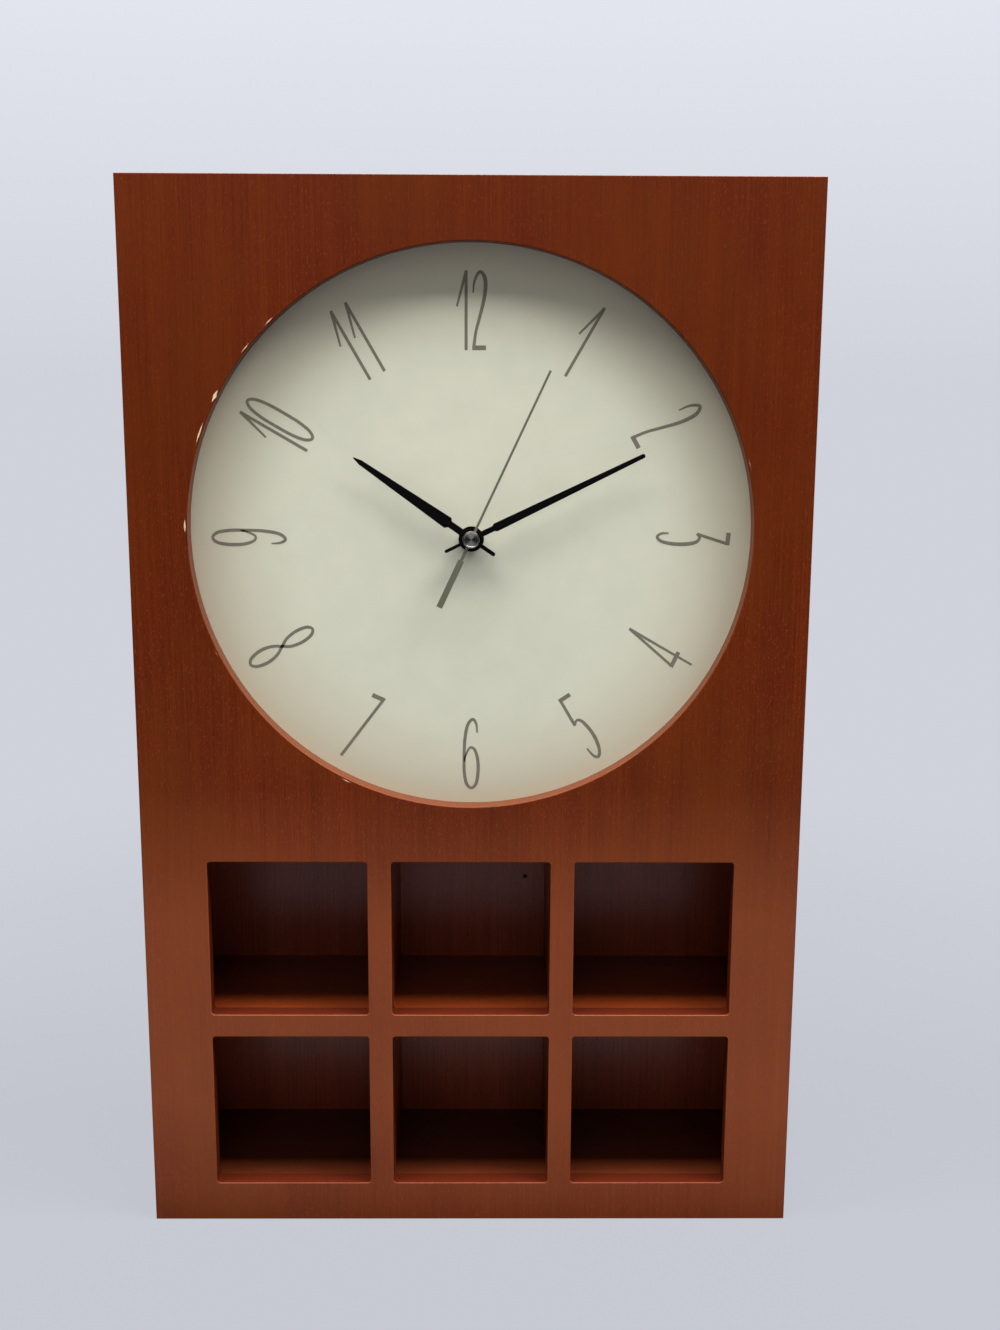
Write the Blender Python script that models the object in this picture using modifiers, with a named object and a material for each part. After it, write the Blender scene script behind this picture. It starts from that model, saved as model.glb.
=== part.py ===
"""Shelf wall clock: a veneered box with a round dial over six open cubbies.

A quartz movement with its whole gear train hangs behind the dial, and a keyhole plate at the top of
the back takes a wall screw. Axes: +X right, +Y from the front face to the back, +Z up. The origin is
under the middle of the case, on the surface it stands on. A depth is measured from the front face
towards the back, and an angle in the plane of the dial from +X towards +Z.
"""

from math import acos, asin, cos, hypot, pi, radians, sin

import bmesh
import bpy

MM = 0.001

# Case
CASE_WIDTH = 330 * MM
CASE_HEIGHT = 527 * MM
CASE_DEPTH = 86 * MM
FRONT_THICKNESS = 9 * MM
BOARD_THICKNESS = 12 * MM
BACK_THICKNESS = 3 * MM
BACK_RECESS = 1.5 * MM
REBATE_WIDTH = 6 * MM
GLUE_GAP = 0.3 * MM
EDGE_ROUND = 0.8 * MM

# Round cut-out and windows of the front panel
CUTOUT_DIAMETER = 273 * MM
CUTOUT_CENTRE_HEIGHT = 361 * MM
WINDOW_WIDTH = 80.3 * MM
WINDOW_HEIGHT = 81.5 * MM
WINDOW_BAR = 12 * MM
WINDOW_CORNER_RADIUS = 1.8 * MM
BOTTOM_RAIL = 20.7 * MM
COLUMNS = 3
ROWS = 2

# Dial
HUB_DROP = 3 * MM
CARD_THICKNESS = 0.4 * MM
CARD_MARGIN = 1.5 * MM
DIAL_BOARD_THICKNESS = 3 * MM
DIAL_SCREW_INSET = 9 * MM

# Rear opening and wall hanger
REAR_OPENING_SIDE = 120 * MM
REAR_OPENING_CORNER = 12 * MM
RAIL_HEIGHT = 42 * MM
HANGER_WIDTH = 52 * MM
HANGER_HEIGHT = 24 * MM
HANGER_THICKNESS = 1.2 * MM
HANGER_SCREW_SPACING = 38 * MM
KEYHOLE_DIAMETER = 10 * MM
KEYHOLE_SLOT_WIDTH = 5 * MM
KEYHOLE_SLOT_LENGTH = 9 * MM
KEYHOLE_POCKET_DEPTH = 8 * MM
KEYHOLE_POCKET_MARGIN = 1.5 * MM

# Screws
SCREW_SHANK_DIAMETER = 2.4 * MM
SCREW_HEAD_DIAMETER = 5 * MM
SCREW_HEAD_HEIGHT = 1.2 * MM
SCREW_HEAD_SIDE = 0.4 * MM
SCREW_HEAD_FLAT = 3 * MM
SCREW_POINT = 1.2 * MM
DIAL_SCREW_LENGTH = 8 * MM
BACK_SCREW_LENGTH = 11 * MM
HANGER_SCREW_LENGTH = 13 * MM
SCREW_CLEARANCE = 0.3 * MM
BACK_SCREWS_A_SIDE = 3
BACK_SCREW_END_DISTANCE = 24 * MM

# Movement case
MOVEMENT_SIDE = 56 * MM
MOVEMENT_WALL = 1.5 * MM
MOVEMENT_DEPTH = 15 * MM
MOVEMENT_CORNER = 3 * MM
COVER_THICKNESS = 1.2 * MM
GASKET_THICKNESS = 1 * MM
GASKET_DIAMETER = 22 * MM
SEAT_GAP = 0.3 * MM
PIVOT_GAP = 0.15 * MM
PIVOT_HOLE_DEPTH = 0.9 * MM
BATTERY_DIAMETER = 14.2 * MM
BATTERY_LENGTH = 49.3 * MM
BATTERY_CAP_DIAMETER = 5.4 * MM
BATTERY_CAP_LENGTH = 1.2 * MM
BATTERY_RIM = 0.5 * MM
BAY_WALL = 1.2 * MM
CONTACT_GAP = 1.2 * MM
CONTACT_THICKNESS = 0.35 * MM
CONTACT_WIDTH = 8 * MM
DIMPLE_DIAMETER = 4 * MM
DIMPLE_TIP_DIAMETER = 2.6 * MM
BRIDGE_THICKNESS = 1 * MM
POST_RADIUS = 1.2 * MM
POST_INSET = 0.8 * MM
COIL_POST_RADIUS = 0.7 * MM

# Centre stack, from the bushing inwards
BUSHING_DIAMETER = 7.8 * MM
BUSHING_FLANGE_DIAMETER = 10 * MM
BUSHING_FLANGE_THICKNESS = 0.7 * MM
HOUR_PIPE_DIAMETER = 5 * MM
MINUTE_TUBE_DIAMETER = 3.4 * MM
SECOND_ARBOR_DIAMETER = 1.2 * MM
NUT_ACROSS_FLATS = 9.8 * MM
NUT_THICKNESS = 1.6 * MM
WASHER_DIAMETER = 11.4 * MM
WASHER_THICKNESS = 0.5 * MM
THREAD_SHOWING = 0.6 * MM

# Hands
HAND_THICKNESS = 0.4 * MM
HAND_SPACING = 1.1 * MM
PIPE_PROUD = 0.1 * MM
HAND_BEHIND_FRONT = 2 * MM
HOUR_TIP = 68.8 * MM
HOUR_BLADE_WIDTH = 6 * MM
HOUR_NECK_WIDTH = 3.4 * MM
HOUR_SHOULDER = 12.5 * MM
HOUR_TIP_WIDTH = 2.5 * MM
HOUR_POINT = 4.2 * MM
HOUR_BLUNT = 0.5 * MM
HOUR_TAIL = 14.1 * MM
HOUR_TAIL_WIDTH = 2 * MM
HOUR_HUB_DIAMETER = 12.4 * MM
MINUTE_TIP = 92.9 * MM
MINUTE_BLADE_WIDTH = 4.2 * MM
MINUTE_NECK_WIDTH = 2.7 * MM
MINUTE_SHOULDER = 12 * MM
MINUTE_TIP_WIDTH = 2.1 * MM
MINUTE_POINT = 0.8 * MM
MINUTE_BLUNT = 1.1 * MM
MINUTE_TAIL = 14.3 * MM
MINUTE_TAIL_WIDTH = 1.6 * MM
MINUTE_HUB_DIAMETER = 10.4 * MM
SHOULDER_SLOPE = 1.2 * MM
SECOND_TIP = 88.8 * MM
SECOND_ROOT_WIDTH = 1.2 * MM
SECOND_TIP_WIDTH = 1.1 * MM
SECOND_TAIL = 36.7 * MM
SECOND_NECK_WIDTH = 1.5 * MM
SECOND_WEIGHT_WIDTH = 3 * MM
SECOND_WEIGHT_START = 10.9 * MM
SECOND_HUB_DIAMETER = 4.4 * MM
COLLET_DIAMETER = 2.4 * MM
COLLET_LENGTH = 0.66 * MM
CAP_DIAMETER = 8.2 * MM
CAP_THICKNESS = 0.6 * MM
CAP_RIM_WIDTH = 0.5 * MM
CAP_DISH = 0.1 * MM
CAP_BEVEL = 0.2 * MM
HUB_RIM_WIDTH = 0.9 * MM
HUB_RIM_HEIGHT = 0.2 * MM
HOUR_HAND_ANGLE = radians(-55.5)
MINUTE_HAND_ANGLE = radians(64)
SECOND_HAND_ANGLE = radians(25.1)

# Gear train: tooth counts and modules
ROTOR_PINION_TEETH = 6
INTERMEDIATE_WHEEL_TEETH = 30
INTERMEDIATE_PINION_TEETH = 6
SECOND_WHEEL_TEETH = 36
SECOND_PINION_TEETH = 6
THIRD_WHEEL_TEETH = 45
THIRD_PINION_TEETH = 6
CENTRE_WHEEL_TEETH = 48
CANNON_PINION_TEETH = 8
MOTION_WHEEL_TEETH = 24
MOTION_PINION_TEETH = 8
HOUR_WHEEL_TEETH = 32
ROTOR_MODULE = 0.42 * MM
INTERMEDIATE_MODULE = 0.53 * MM
CENTRE_MODULE = 0.4 * MM
CANNON_MODULE = 0.7 * MM

# Gear train: where the axes lie, as angles from +X seen from the front
THIRD_ANGLE = radians(60)
INTERMEDIATE_ANGLE = radians(150)
ROTOR_ANGLE = radians(110)
MOTION_ANGLE = radians(-3)

# Gear train: thicknesses and steps of depth
WHEEL_THICKNESS = 0.9 * MM
WHEEL_CLEARANCE = 0.5 * MM
PINION_OVERHANG = 0.25 * MM
LAYER_STEP = 2 * MM
MOTION_LAYER_STEP = 1.7 * MM
BRIDGE_CLEARANCE = 0.8 * MM
PIVOT_STANDBACK = 0.2 * MM
ARBOR_RADIUS = 0.5 * MM
COLLAR_HEIGHT = 0.5 * MM
COLLAR_THICKNESS = 0.4 * MM
KNOB_SHAFT_RADIUS = 1 * MM
KNOB_DIAMETER = 12 * MM
KNOB_HEIGHT = 4 * MM
KNOB_SHAFT_LENGTH = 2.4 * MM
KNOB_FLUTES = 15
KNOB_FLUTE_DEPTH = 0.5 * MM
MAGNET_DIAMETER = 6 * MM
MAGNET_HEIGHT = 2.2 * MM

# Coil and stator
COIL_OFFSET = 4 * MM
COIL_DROP = 1.5 * MM
WIRE_INSET = 0.3 * MM
COIL_RADIUS = 3.3 * MM
COIL_LENGTH = 17 * MM
COIL_FLANGE = 0.8 * MM
CORE_SIDE = 2 * MM
CORE_END = 3.4 * MM
STATOR_THICKNESS = 1 * MM
STATOR_RING_WIDTH = 1.3 * MM
STATOR_ARM_WIDTH = 2.4 * MM
STATOR_SHOULDER = 0.4 * MM
MAGNET_AIR_GAP = 0.6 * MM

# Circuit board
CIRCUIT_WIDTH = 7 * MM
CIRCUIT_HEIGHT = 15.5 * MM
CIRCUIT_THICKNESS = 1 * MM
CHIP_DIAMETER = 4 * MM
CHIP_HEIGHT = 0.9 * MM
CRYSTAL_DIAMETER = 2 * MM
CRYSTAL_LENGTH = 6 * MM

# Facets
CUTOUT_STEPS = 96
ROUND_STEPS = 24
PIPE_STEPS = 20
MEDIUM_STEPS = 16
KEYHOLE_STEPS = 12
SMALL_STEPS = 8
ARBOR_STEPS = 8
STATOR_BREAK_STEPS = 3
CORNER_STEPS = 2

# Positions worked out from the sizes
FRONT_Y = -CASE_DEPTH / 2
BACK_FACE_DEPTH = CASE_DEPTH - BACK_RECESS - BACK_THICKNESS
INNER_HALF_WIDTH = CASE_WIDTH / 2 - BOARD_THICKNESS
BEHIND_FRONT = FRONT_THICKNESS + GLUE_GAP
WINDOW_PITCH = WINDOW_WIDTH + WINDOW_BAR
ROW_PITCH = WINDOW_HEIGHT + WINDOW_BAR
DECK_BOTTOM = BOTTOM_RAIL + ROWS * ROW_PITCH - WINDOW_BAR
DECK_TOP = DECK_BOTTOM + BOARD_THICKNESS
TOP_INSIDE = CASE_HEIGHT - BOARD_THICKNESS
HUB_HEIGHT = CUTOUT_CENTRE_HEIGHT - HUB_DROP

CARD_DEPTH = BEHIND_FRONT
BOARD_DEPTH = CARD_DEPTH + CARD_THICKNESS + GLUE_GAP
BOARD_BACK = BOARD_DEPTH + DIAL_BOARD_THICKNESS
GASKET_DEPTH = BOARD_BACK + SEAT_GAP
MOVEMENT_FRONT = GASKET_DEPTH + GASKET_THICKNESS + SEAT_GAP
MOVEMENT_INSIDE = MOVEMENT_FRONT + MOVEMENT_WALL
MOVEMENT_BACK = MOVEMENT_FRONT + MOVEMENT_DEPTH
COVER_DEPTH = MOVEMENT_BACK + SEAT_GAP
COVER_BACK = COVER_DEPTH + COVER_THICKNESS

# Depths of the wheels, one layer behind another
HOUR_WHEEL_DEPTH = MOVEMENT_INSIDE + WHEEL_CLEARANCE
MOTION_WHEEL_DEPTH = HOUR_WHEEL_DEPTH + MOTION_LAYER_STEP
CENTRE_WHEEL_DEPTH = MOTION_WHEEL_DEPTH + MOTION_LAYER_STEP
THIRD_WHEEL_DEPTH = CENTRE_WHEEL_DEPTH + LAYER_STEP
SECOND_WHEEL_DEPTH = THIRD_WHEEL_DEPTH + LAYER_STEP
INTERMEDIATE_WHEEL_DEPTH = SECOND_WHEEL_DEPTH + LAYER_STEP
BRIDGE_DEPTH = INTERMEDIATE_WHEEL_DEPTH + WHEEL_THICKNESS + BRIDGE_CLEARANCE
ARBOR_BACK = BRIDGE_DEPTH + BRIDGE_THICKNESS - PIVOT_STANDBACK
ARBOR_FRONT = MOVEMENT_INSIDE - PIVOT_HOLE_DEPTH + SEAT_GAP

# Centre distances: each follows from the teeth that mesh across it
CENTRE_DISTANCE_THIRD = (CENTRE_WHEEL_TEETH + THIRD_PINION_TEETH) * CENTRE_MODULE / 2
THIRD_MODULE = 2 * CENTRE_DISTANCE_THIRD / (THIRD_WHEEL_TEETH + SECOND_PINION_TEETH)
CENTRE_DISTANCE_INTERMEDIATE = (SECOND_WHEEL_TEETH + INTERMEDIATE_PINION_TEETH) * INTERMEDIATE_MODULE / 2
CENTRE_DISTANCE_ROTOR = (INTERMEDIATE_WHEEL_TEETH + ROTOR_PINION_TEETH) * ROTOR_MODULE / 2
CENTRE_DISTANCE_MOTION = (MOTION_WHEEL_TEETH + CANNON_PINION_TEETH) * CANNON_MODULE / 2
MOTION_MODULE = 2 * CENTRE_DISTANCE_MOTION / (HOUR_WHEEL_TEETH + MOTION_PINION_TEETH)

HUB = (0.0, HUB_HEIGHT)


def offset_point(point, distance, angle):
    """The point at a distance and an angle from another, in the plane of the dial."""
    return (point[0] + distance * cos(angle), point[1] + distance * sin(angle))


THIRD_AXIS = offset_point(HUB, CENTRE_DISTANCE_THIRD, THIRD_ANGLE)
INTERMEDIATE_AXIS = offset_point(HUB, CENTRE_DISTANCE_INTERMEDIATE, INTERMEDIATE_ANGLE)
ROTOR_AXIS = offset_point(INTERMEDIATE_AXIS, CENTRE_DISTANCE_ROTOR, ROTOR_ANGLE)
MOTION_AXIS = offset_point(HUB, CENTRE_DISTANCE_MOTION, MOTION_ANGLE)

MOVEMENT_HALF = MOVEMENT_SIDE / 2
MOVEMENT_INNER = MOVEMENT_HALF - MOVEMENT_WALL
BATTERY_HEIGHT = HUB_HEIGHT - MOVEMENT_INNER + SEAT_GAP + BATTERY_DIAMETER / 2
BATTERY_DEPTH = MOVEMENT_INSIDE + SEAT_GAP + BATTERY_DIAMETER / 2
BAY_TOP = BATTERY_HEIGHT + BATTERY_DIAMETER / 2 + SEAT_GAP
TRAIN_BOTTOM = BAY_TOP + BAY_WALL

# Tooth form: heights in modules, half widths in shares of the pitch
WHEEL_TOOTH = {"add": 0.9, "ded": 1.15, "tip": 0.11, "root": 0.29}
PINION_TOOTH = {"add": 0.75, "ded": 1.25, "tip": 0.08, "pitch": 0.2, "root": 0.2}


def start_scene():
    """Clears the scene and makes the collections for the parts and for the cutters."""
    for old in list(bpy.data.objects):
        bpy.data.objects.remove(old)
    scene = bpy.context.scene
    made = []
    for name in ("shelf_wall_clock", "cutters"):
        group = bpy.data.collections.new(name)
        scene.collection.children.link(group)
        made.append(group)
    return made


PARTS, CUTTERS = start_scene()


def linear(channel):
    """One sRGB channel from 0 to 255 as a linear value."""
    share = channel / 255
    return share / 12.92 if share <= 0.04045 else ((share + 0.055) / 1.055) ** 2.4


def material(name, srgb, roughness, metallic=0.0):
    made = bpy.data.materials.new(name)
    made.use_nodes = True
    shader = made.node_tree.nodes["Principled BSDF"]
    shader.inputs["Base Color"].default_value = (*[linear(c) for c in srgb], 1.0)
    shader.inputs["Roughness"].default_value = roughness
    shader.inputs["Metallic"].default_value = metallic
    return made


VENEER = material("cherry_stained_veneer", (142, 58, 26), 0.38)
STAINED_BOARD = material("stained_fibreboard", (112, 40, 20), 0.5)
HARDBOARD = material("brown_hardboard", (104, 72, 48), 0.7)
CARD = material("printed_dial_card", (214, 211, 194), 0.75)
PINE = material("pine_batten", (196, 160, 112), 0.65)
BLACK_PLASTIC = material("black_moulded_plastic", (28, 28, 30), 0.45)
WHITE_NYLON = material("white_nylon", (226, 224, 214), 0.4)
BLACK_PAINT = material("black_painted_aluminium", (14, 14, 14), 0.4)
SILVER_PAINT = material("silver_painted_aluminium", (128, 130, 126), 0.4, 0.3)
SPUN_STEEL = material("spun_steel", (170, 170, 168), 0.28, 1.0)
ZINC_STEEL = material("zinc_plated_steel", (176, 178, 176), 0.35, 1.0)
BRASS = material("brass", (196, 158, 84), 0.32, 1.0)
RUBBER = material("black_rubber", (24, 24, 24), 0.8)
COPPER = material("enamelled_copper_wire", (168, 86, 42), 0.35, 1.0)
SILICON_STEEL = material("laminated_iron", (120, 122, 126), 0.45, 1.0)
FERRITE = material("sintered_magnet", (70, 70, 74), 0.55, 0.4)
GREEN_BOARD = material("circuit_laminate", (36, 84, 52), 0.5)
CELL_WRAP = material("battery_sleeve", (52, 60, 72), 0.35)


def place(obj, group=None):
    (group or PARTS).objects.link(obj)
    if group is CUTTERS:
        obj.hide_render = True
        obj.display_type = "WIRE"
    return obj


def mesh_object(name, bm, finish=None, group=None):
    mesh = bpy.data.meshes.new(name)
    bm.to_mesh(mesh)
    bm.free()
    obj = bpy.data.objects.new(name, mesh)
    if finish:
        mesh.materials.append(finish)
    return place(obj, group)


def block(name, low, high, finish=None, group=None):
    """A box between two corners given as (x, depth, z)."""
    size = [h - l for l, h in zip(low, high)]
    bm = bmesh.new()
    bmesh.ops.create_cube(bm, size=1)
    bmesh.ops.scale(bm, vec=size, verts=bm.verts)
    obj = mesh_object(name, bm, finish, group)
    obj.location = [
        (low[0] + high[0]) / 2,
        FRONT_Y + (low[1] + high[1]) / 2,
        (low[2] + high[2]) / 2,
    ]
    return obj


def evaluated_mesh(obj):
    bpy.context.view_layer.update()
    graph = bpy.context.evaluated_depsgraph_get()
    return bpy.data.meshes.new_from_object(obj.evaluated_get(graph), depsgraph=graph)


def weld(mesh, distance=0.0005 * MM):
    bm = bmesh.new()
    bm.from_mesh(mesh)
    bmesh.ops.remove_doubles(bm, verts=bm.verts, dist=distance)
    bmesh.ops.recalc_face_normals(bm, faces=bm.faces)
    bm.to_mesh(mesh)
    bm.free()


def settle(obj, smooth_angle=35):
    """Keeps the evaluated mesh, drops the modifiers, and shades round faces smooth."""
    mesh = evaluated_mesh(obj)
    weld(mesh)
    obj.modifiers.clear()
    obj.data = mesh
    mesh.shade_smooth()
    mesh.set_sharp_from_angle(angle=radians(smooth_angle))
    return obj


def circle(radius, steps=ROUND_STEPS, centre=(0, 0), phase=0.0):
    return [
        offset_point(centre, radius, phase + 2 * pi * i / steps) for i in range(steps)
    ]


def arc(centre, radius, start, end, steps):
    return [offset_point(centre, radius, start + (end - start) * i / steps) for i in range(steps + 1)]


def rounded_rectangle(width, height, radius, steps=CORNER_STEPS, centre=(0, 0)):
    """Corner points of a rectangle with round corners, anticlockwise from the right side."""
    points = []
    for quarter in range(4):
        turn = quarter * pi / 2
        sx = 1 if quarter in (0, 3) else -1
        sz = 1 if quarter in (0, 1) else -1
        corner = (
            centre[0] + sx * (width / 2 - radius),
            centre[1] + sz * (height / 2 - radius),
        )
        points += arc(corner, radius, turn, turn + pi / 2, steps)
    return points


def plate(name, loops, front, back, finish=None, centre=(0, 0), group=None):
    """A flat outline, with holes if it has more than one loop, between two depths."""
    curve = bpy.data.curves.new(name, "CURVE")
    curve.dimensions = "2D"
    curve.fill_mode = "BOTH"
    curve.extrude = (back - front) / 2
    for loop in loops:
        spline = curve.splines.new("POLY")
        spline.points.add(len(loop) - 1)
        for point, (x, z) in zip(spline.points, loop):
            point.co = (x, z, 0, 1)
        spline.use_cyclic_u = True
    drawn = place(bpy.data.objects.new(name + "_outline", curve))
    mesh = evaluated_mesh(drawn)
    bpy.data.objects.remove(drawn)
    bpy.data.curves.remove(curve)
    weld(mesh)
    mesh.name = name
    obj = bpy.data.objects.new(name, mesh)
    mesh.materials.clear()
    if finish:
        mesh.materials.append(finish)
    obj.rotation_euler = (pi / 2, 0, 0)
    obj.location = (centre[0], FRONT_Y + (front + back) / 2, centre[1])
    return place(obj, group)


def turned(name, profile, finish=None, centre=(0, 0), steps=ROUND_STEPS, ring=False, group=None):
    """Turns (radius, depth) points, front to back down the outer side, round an axis along Y."""
    mesh = bpy.data.meshes.new(name)
    points = [(radius, 0, -depth) for radius, depth in profile]
    edges = [(i, i + 1) for i in range(len(points) - 1)]
    if ring:
        edges.append((len(points) - 1, 0))
    mesh.from_pydata(points, edges, [])
    obj = bpy.data.objects.new(name, mesh)
    if finish:
        mesh.materials.append(finish)
    screw = obj.modifiers.new("Screw", "SCREW")
    screw.axis = "Z"
    screw.steps = steps
    screw.render_steps = steps
    screw.use_merge_vertices = True
    screw.merge_threshold = 1e-6
    screw.use_normal_calculate = True
    obj.rotation_euler = (pi / 2, 0, 0)
    obj.location = (centre[0], FRONT_Y, centre[1])
    place(obj, group)
    return settle(obj)


def cylinder(name, radius, front, back, finish=None, centre=(0, 0), steps=ROUND_STEPS, group=None):
    profile = [(0, front), (radius, front), (radius, back), (0, back)]
    return turned(name, profile, finish, centre, steps, group=group)


def tube(name, outer, inner, front, back, finish=None, centre=(0, 0), steps=ROUND_STEPS, group=None):
    profile = [(inner, front), (outer, front), (outer, back), (inner, back)]
    return turned(name, profile, finish, centre, steps, ring=True, group=group)


def combine(obj, other, operation):
    """A Boolean of another object on this one; the other stays as a hidden guide."""
    modifier = obj.modifiers.new(operation.title() + "_" + other.name, "BOOLEAN")
    modifier.operation = operation
    modifier.solver = "EXACT"
    modifier.object = other
    return obj


def cut(obj, *cutters):
    for cutter in cutters:
        combine(obj, cutter, "DIFFERENCE")
    return obj


def join(obj, *others):
    for other in others:
        combine(obj, other, "UNION")
    return obj


def drilled(obj, name, radius, front, back, centre, steps=SMALL_STEPS):
    """Cuts a round hole between two depths."""
    return cut(obj, cylinder(name, radius, front, back, centre=centre, steps=steps, group=CUTTERS))


def loft(name, loops, group):
    """A closed solid through loops of (x, depth, z) points that all have as many points."""
    bm = bmesh.new()
    rings = [[bm.verts.new((x, FRONT_Y + d, z)) for x, d, z in loop] for loop in loops]
    count = len(rings[0])
    for near, far in zip(rings, rings[1:]):
        for i in range(count):
            j = (i + 1) % count
            bm.faces.new((near[i], near[j], far[j], far[i]))
    bm.faces.new(rings[0])
    bm.faces.new(rings[-1])
    bmesh.ops.recalc_face_normals(bm, faces=bm.faces)
    return mesh_object(name, bm, group=group)


def edge_profile():
    """(growth, depth) steps of a rounded edge at the front face, from outside the panel to its back."""
    steps = 2
    flare = [(EDGE_ROUND, -EDGE_ROUND)]
    for i in range(steps + 1):
        angle = pi / 2 * i / steps
        flare.append((EDGE_ROUND * (1 - sin(angle)), EDGE_ROUND * (1 - cos(angle))))
    flare.append((0.0, BEHIND_FRONT + EDGE_ROUND))
    return flare


def window_centres():
    return [
        (
            (column - (COLUMNS - 1) / 2) * WINDOW_PITCH,
            BOTTOM_RAIL + WINDOW_HEIGHT / 2 + row * ROW_PITCH,
        )
        for row in range(ROWS)
        for column in range(COLUMNS)
    ]


def window_cutter(name, centre):
    loops = []
    for growth, depth in edge_profile():
        outline = rounded_rectangle(
            WINDOW_WIDTH + 2 * growth,
            WINDOW_HEIGHT + 2 * growth,
            WINDOW_CORNER_RADIUS + growth,
            centre=centre,
        )
        loops.append([(x, depth, z) for x, z in outline])
    return loft(name, loops, CUTTERS)


def cutout_cutter():
    radius = CUTOUT_DIAMETER / 2
    profile = [(0, -EDGE_ROUND)]
    profile += [(radius + growth, depth) for growth, depth in edge_profile()]
    profile.append((0, BEHIND_FRONT + EDGE_ROUND))
    centre = (0, CUTOUT_CENTRE_HEIGHT)
    return turned("cutout_cutter", profile, centre=centre, steps=CUTOUT_STEPS, group=CUTTERS)


def front_panel():
    """One veneered board with the round cut-out, the six windows and softened front edges."""
    loops = []
    growths = [(-growth, depth) for growth, depth in edge_profile()[1:-1]]
    for growth, depth in growths + [(0.0, FRONT_THICKNESS)]:
        half = CASE_WIDTH / 2 + growth
        low, high = -growth, CASE_HEIGHT + growth
        corners = [(-half, low), (half, low), (half, high), (-half, high)]
        loops.append([(x, depth, z) for x, z in corners])
    panel = loft("front_panel", loops, PARTS)
    panel.data.materials.append(VENEER)
    cut(panel, cutout_cutter())
    for number, centre in enumerate(window_centres()):
        cut(panel, window_cutter(f"window_cutter_{number + 1}", centre))
    for number, (x, z) in enumerate(dial_screw_places()):
        radius = SCREW_SHANK_DIAMETER / 2 + SCREW_CLEARANCE
        depth = BOARD_BACK - DIAL_SCREW_LENGTH - SCREW_CLEARANCE
        drilled(panel, f"pilot_{number + 1}", radius, depth, BEHIND_FRONT, (x, z))
    return panel


def back_rebate():
    """The shallow step round the back edges that holds the back panel."""
    half = CASE_WIDTH / 2 - REBATE_WIDTH
    low = (-half, BACK_FACE_DEPTH, REBATE_WIDTH)
    high = (half, CASE_DEPTH + BACK_THICKNESS, CASE_HEIGHT - REBATE_WIDTH)
    return block("rebate_cutter", low, high, group=CUTTERS)


def shelf_height(row):
    """Upper face of the board under a row of windows."""
    return BOTTOM_RAIL + row * ROW_PITCH


def case_boards():
    """Sides, top and bottom behind the front panel, and the deck and shelf that carry the cubbies."""
    rebate = back_rebate()
    half = CASE_WIDTH / 2
    inner = INNER_HALF_WIDTH - GLUE_GAP
    boards = []
    for name, sign in (("side_left", -1), ("side_right", 1)):
        x0, x1 = sorted((sign * half, sign * INNER_HALF_WIDTH))
        low, high = (x0, BEHIND_FRONT, 0), (x1, CASE_DEPTH, CASE_HEIGHT)
        boards.append(cut(block(name, low, high, VENEER), rebate))
    low, high = (-inner, BEHIND_FRONT, TOP_INSIDE), (inner, CASE_DEPTH, CASE_HEIGHT)
    boards.append(cut(block("top_panel", low, high, VENEER), rebate))
    floor = shelf_height(0)
    low = (-inner, BEHIND_FRONT, floor - BOARD_THICKNESS)
    high = (inner, BACK_FACE_DEPTH - GLUE_GAP, floor)
    boards.append(block("bottom_panel", low, high, STAINED_BOARD))
    low = (-inner, BEHIND_FRONT, DECK_BOTTOM)
    high = (inner, BACK_FACE_DEPTH - GLUE_GAP, DECK_TOP)
    boards.append(block("upper_shelf", low, high, STAINED_BOARD))
    low = (-inner, BEHIND_FRONT, shelf_height(1) - WINDOW_BAR)
    high = (inner, BACK_FACE_DEPTH - GLUE_GAP, shelf_height(1))
    boards.append(block("middle_shelf", low, high, STAINED_BOARD))
    return boards


def dividers():
    """Upright boards between the cubbies, as thick as the bars that they stand behind."""
    for row, row_name in enumerate(("lower", "upper")):
        low_z = shelf_height(row) + GLUE_GAP
        high_z = shelf_height(row) + WINDOW_HEIGHT - GLUE_GAP
        for sign, side in ((-1, "left"), (1, "right")):
            x = sign * WINDOW_PITCH / 2
            low = (x - WINDOW_BAR / 2, BEHIND_FRONT, low_z)
            high = (x + WINDOW_BAR / 2, BACK_FACE_DEPTH - GLUE_GAP, high_z)
            block(f"divider_{row_name}_{side}", low, high, STAINED_BOARD)


def back_screw_places():
    """Screw centres in the overlap of back panel and rebate: up both sides, and two along the top."""
    x = CASE_WIDTH / 2 - (REBATE_WIDTH + BOARD_THICKNESS) / 2
    low, high = BACK_SCREW_END_DISTANCE, CASE_HEIGHT - BACK_SCREW_END_DISTANCE
    step = (high - low) / (BACK_SCREWS_A_SIDE - 1)
    places = []
    for i in range(BACK_SCREWS_A_SIDE):
        places += [(-x, low + i * step), (x, low + i * step)]
    z = CASE_HEIGHT - (REBATE_WIDTH + BOARD_THICKNESS) / 2
    return places + [(-WINDOW_PITCH, z), (WINDOW_PITCH, z)]


def hanger_height():
    return TOP_INSIDE - RAIL_HEIGHT / 2


def hanger_screw_places():
    z = hanger_height()
    return [(-HANGER_SCREW_SPACING / 2, z), (HANGER_SCREW_SPACING / 2, z)]


def keyhole_outline(margin):
    """A round hole with a narrow slot above it, as one outline."""
    hole = KEYHOLE_DIAMETER / 2 + margin
    slot = KEYHOLE_SLOT_WIDTH / 2 + margin
    low = hanger_height() - KEYHOLE_SLOT_LENGTH / 2
    high = low + KEYHOLE_SLOT_LENGTH
    spread = acos(slot / hole)
    round_end = arc((0, low), hole, pi - spread, 2 * pi + spread, KEYHOLE_STEPS)
    return round_end + arc((0, high), slot, 0, pi, SMALL_STEPS // 2)


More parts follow.
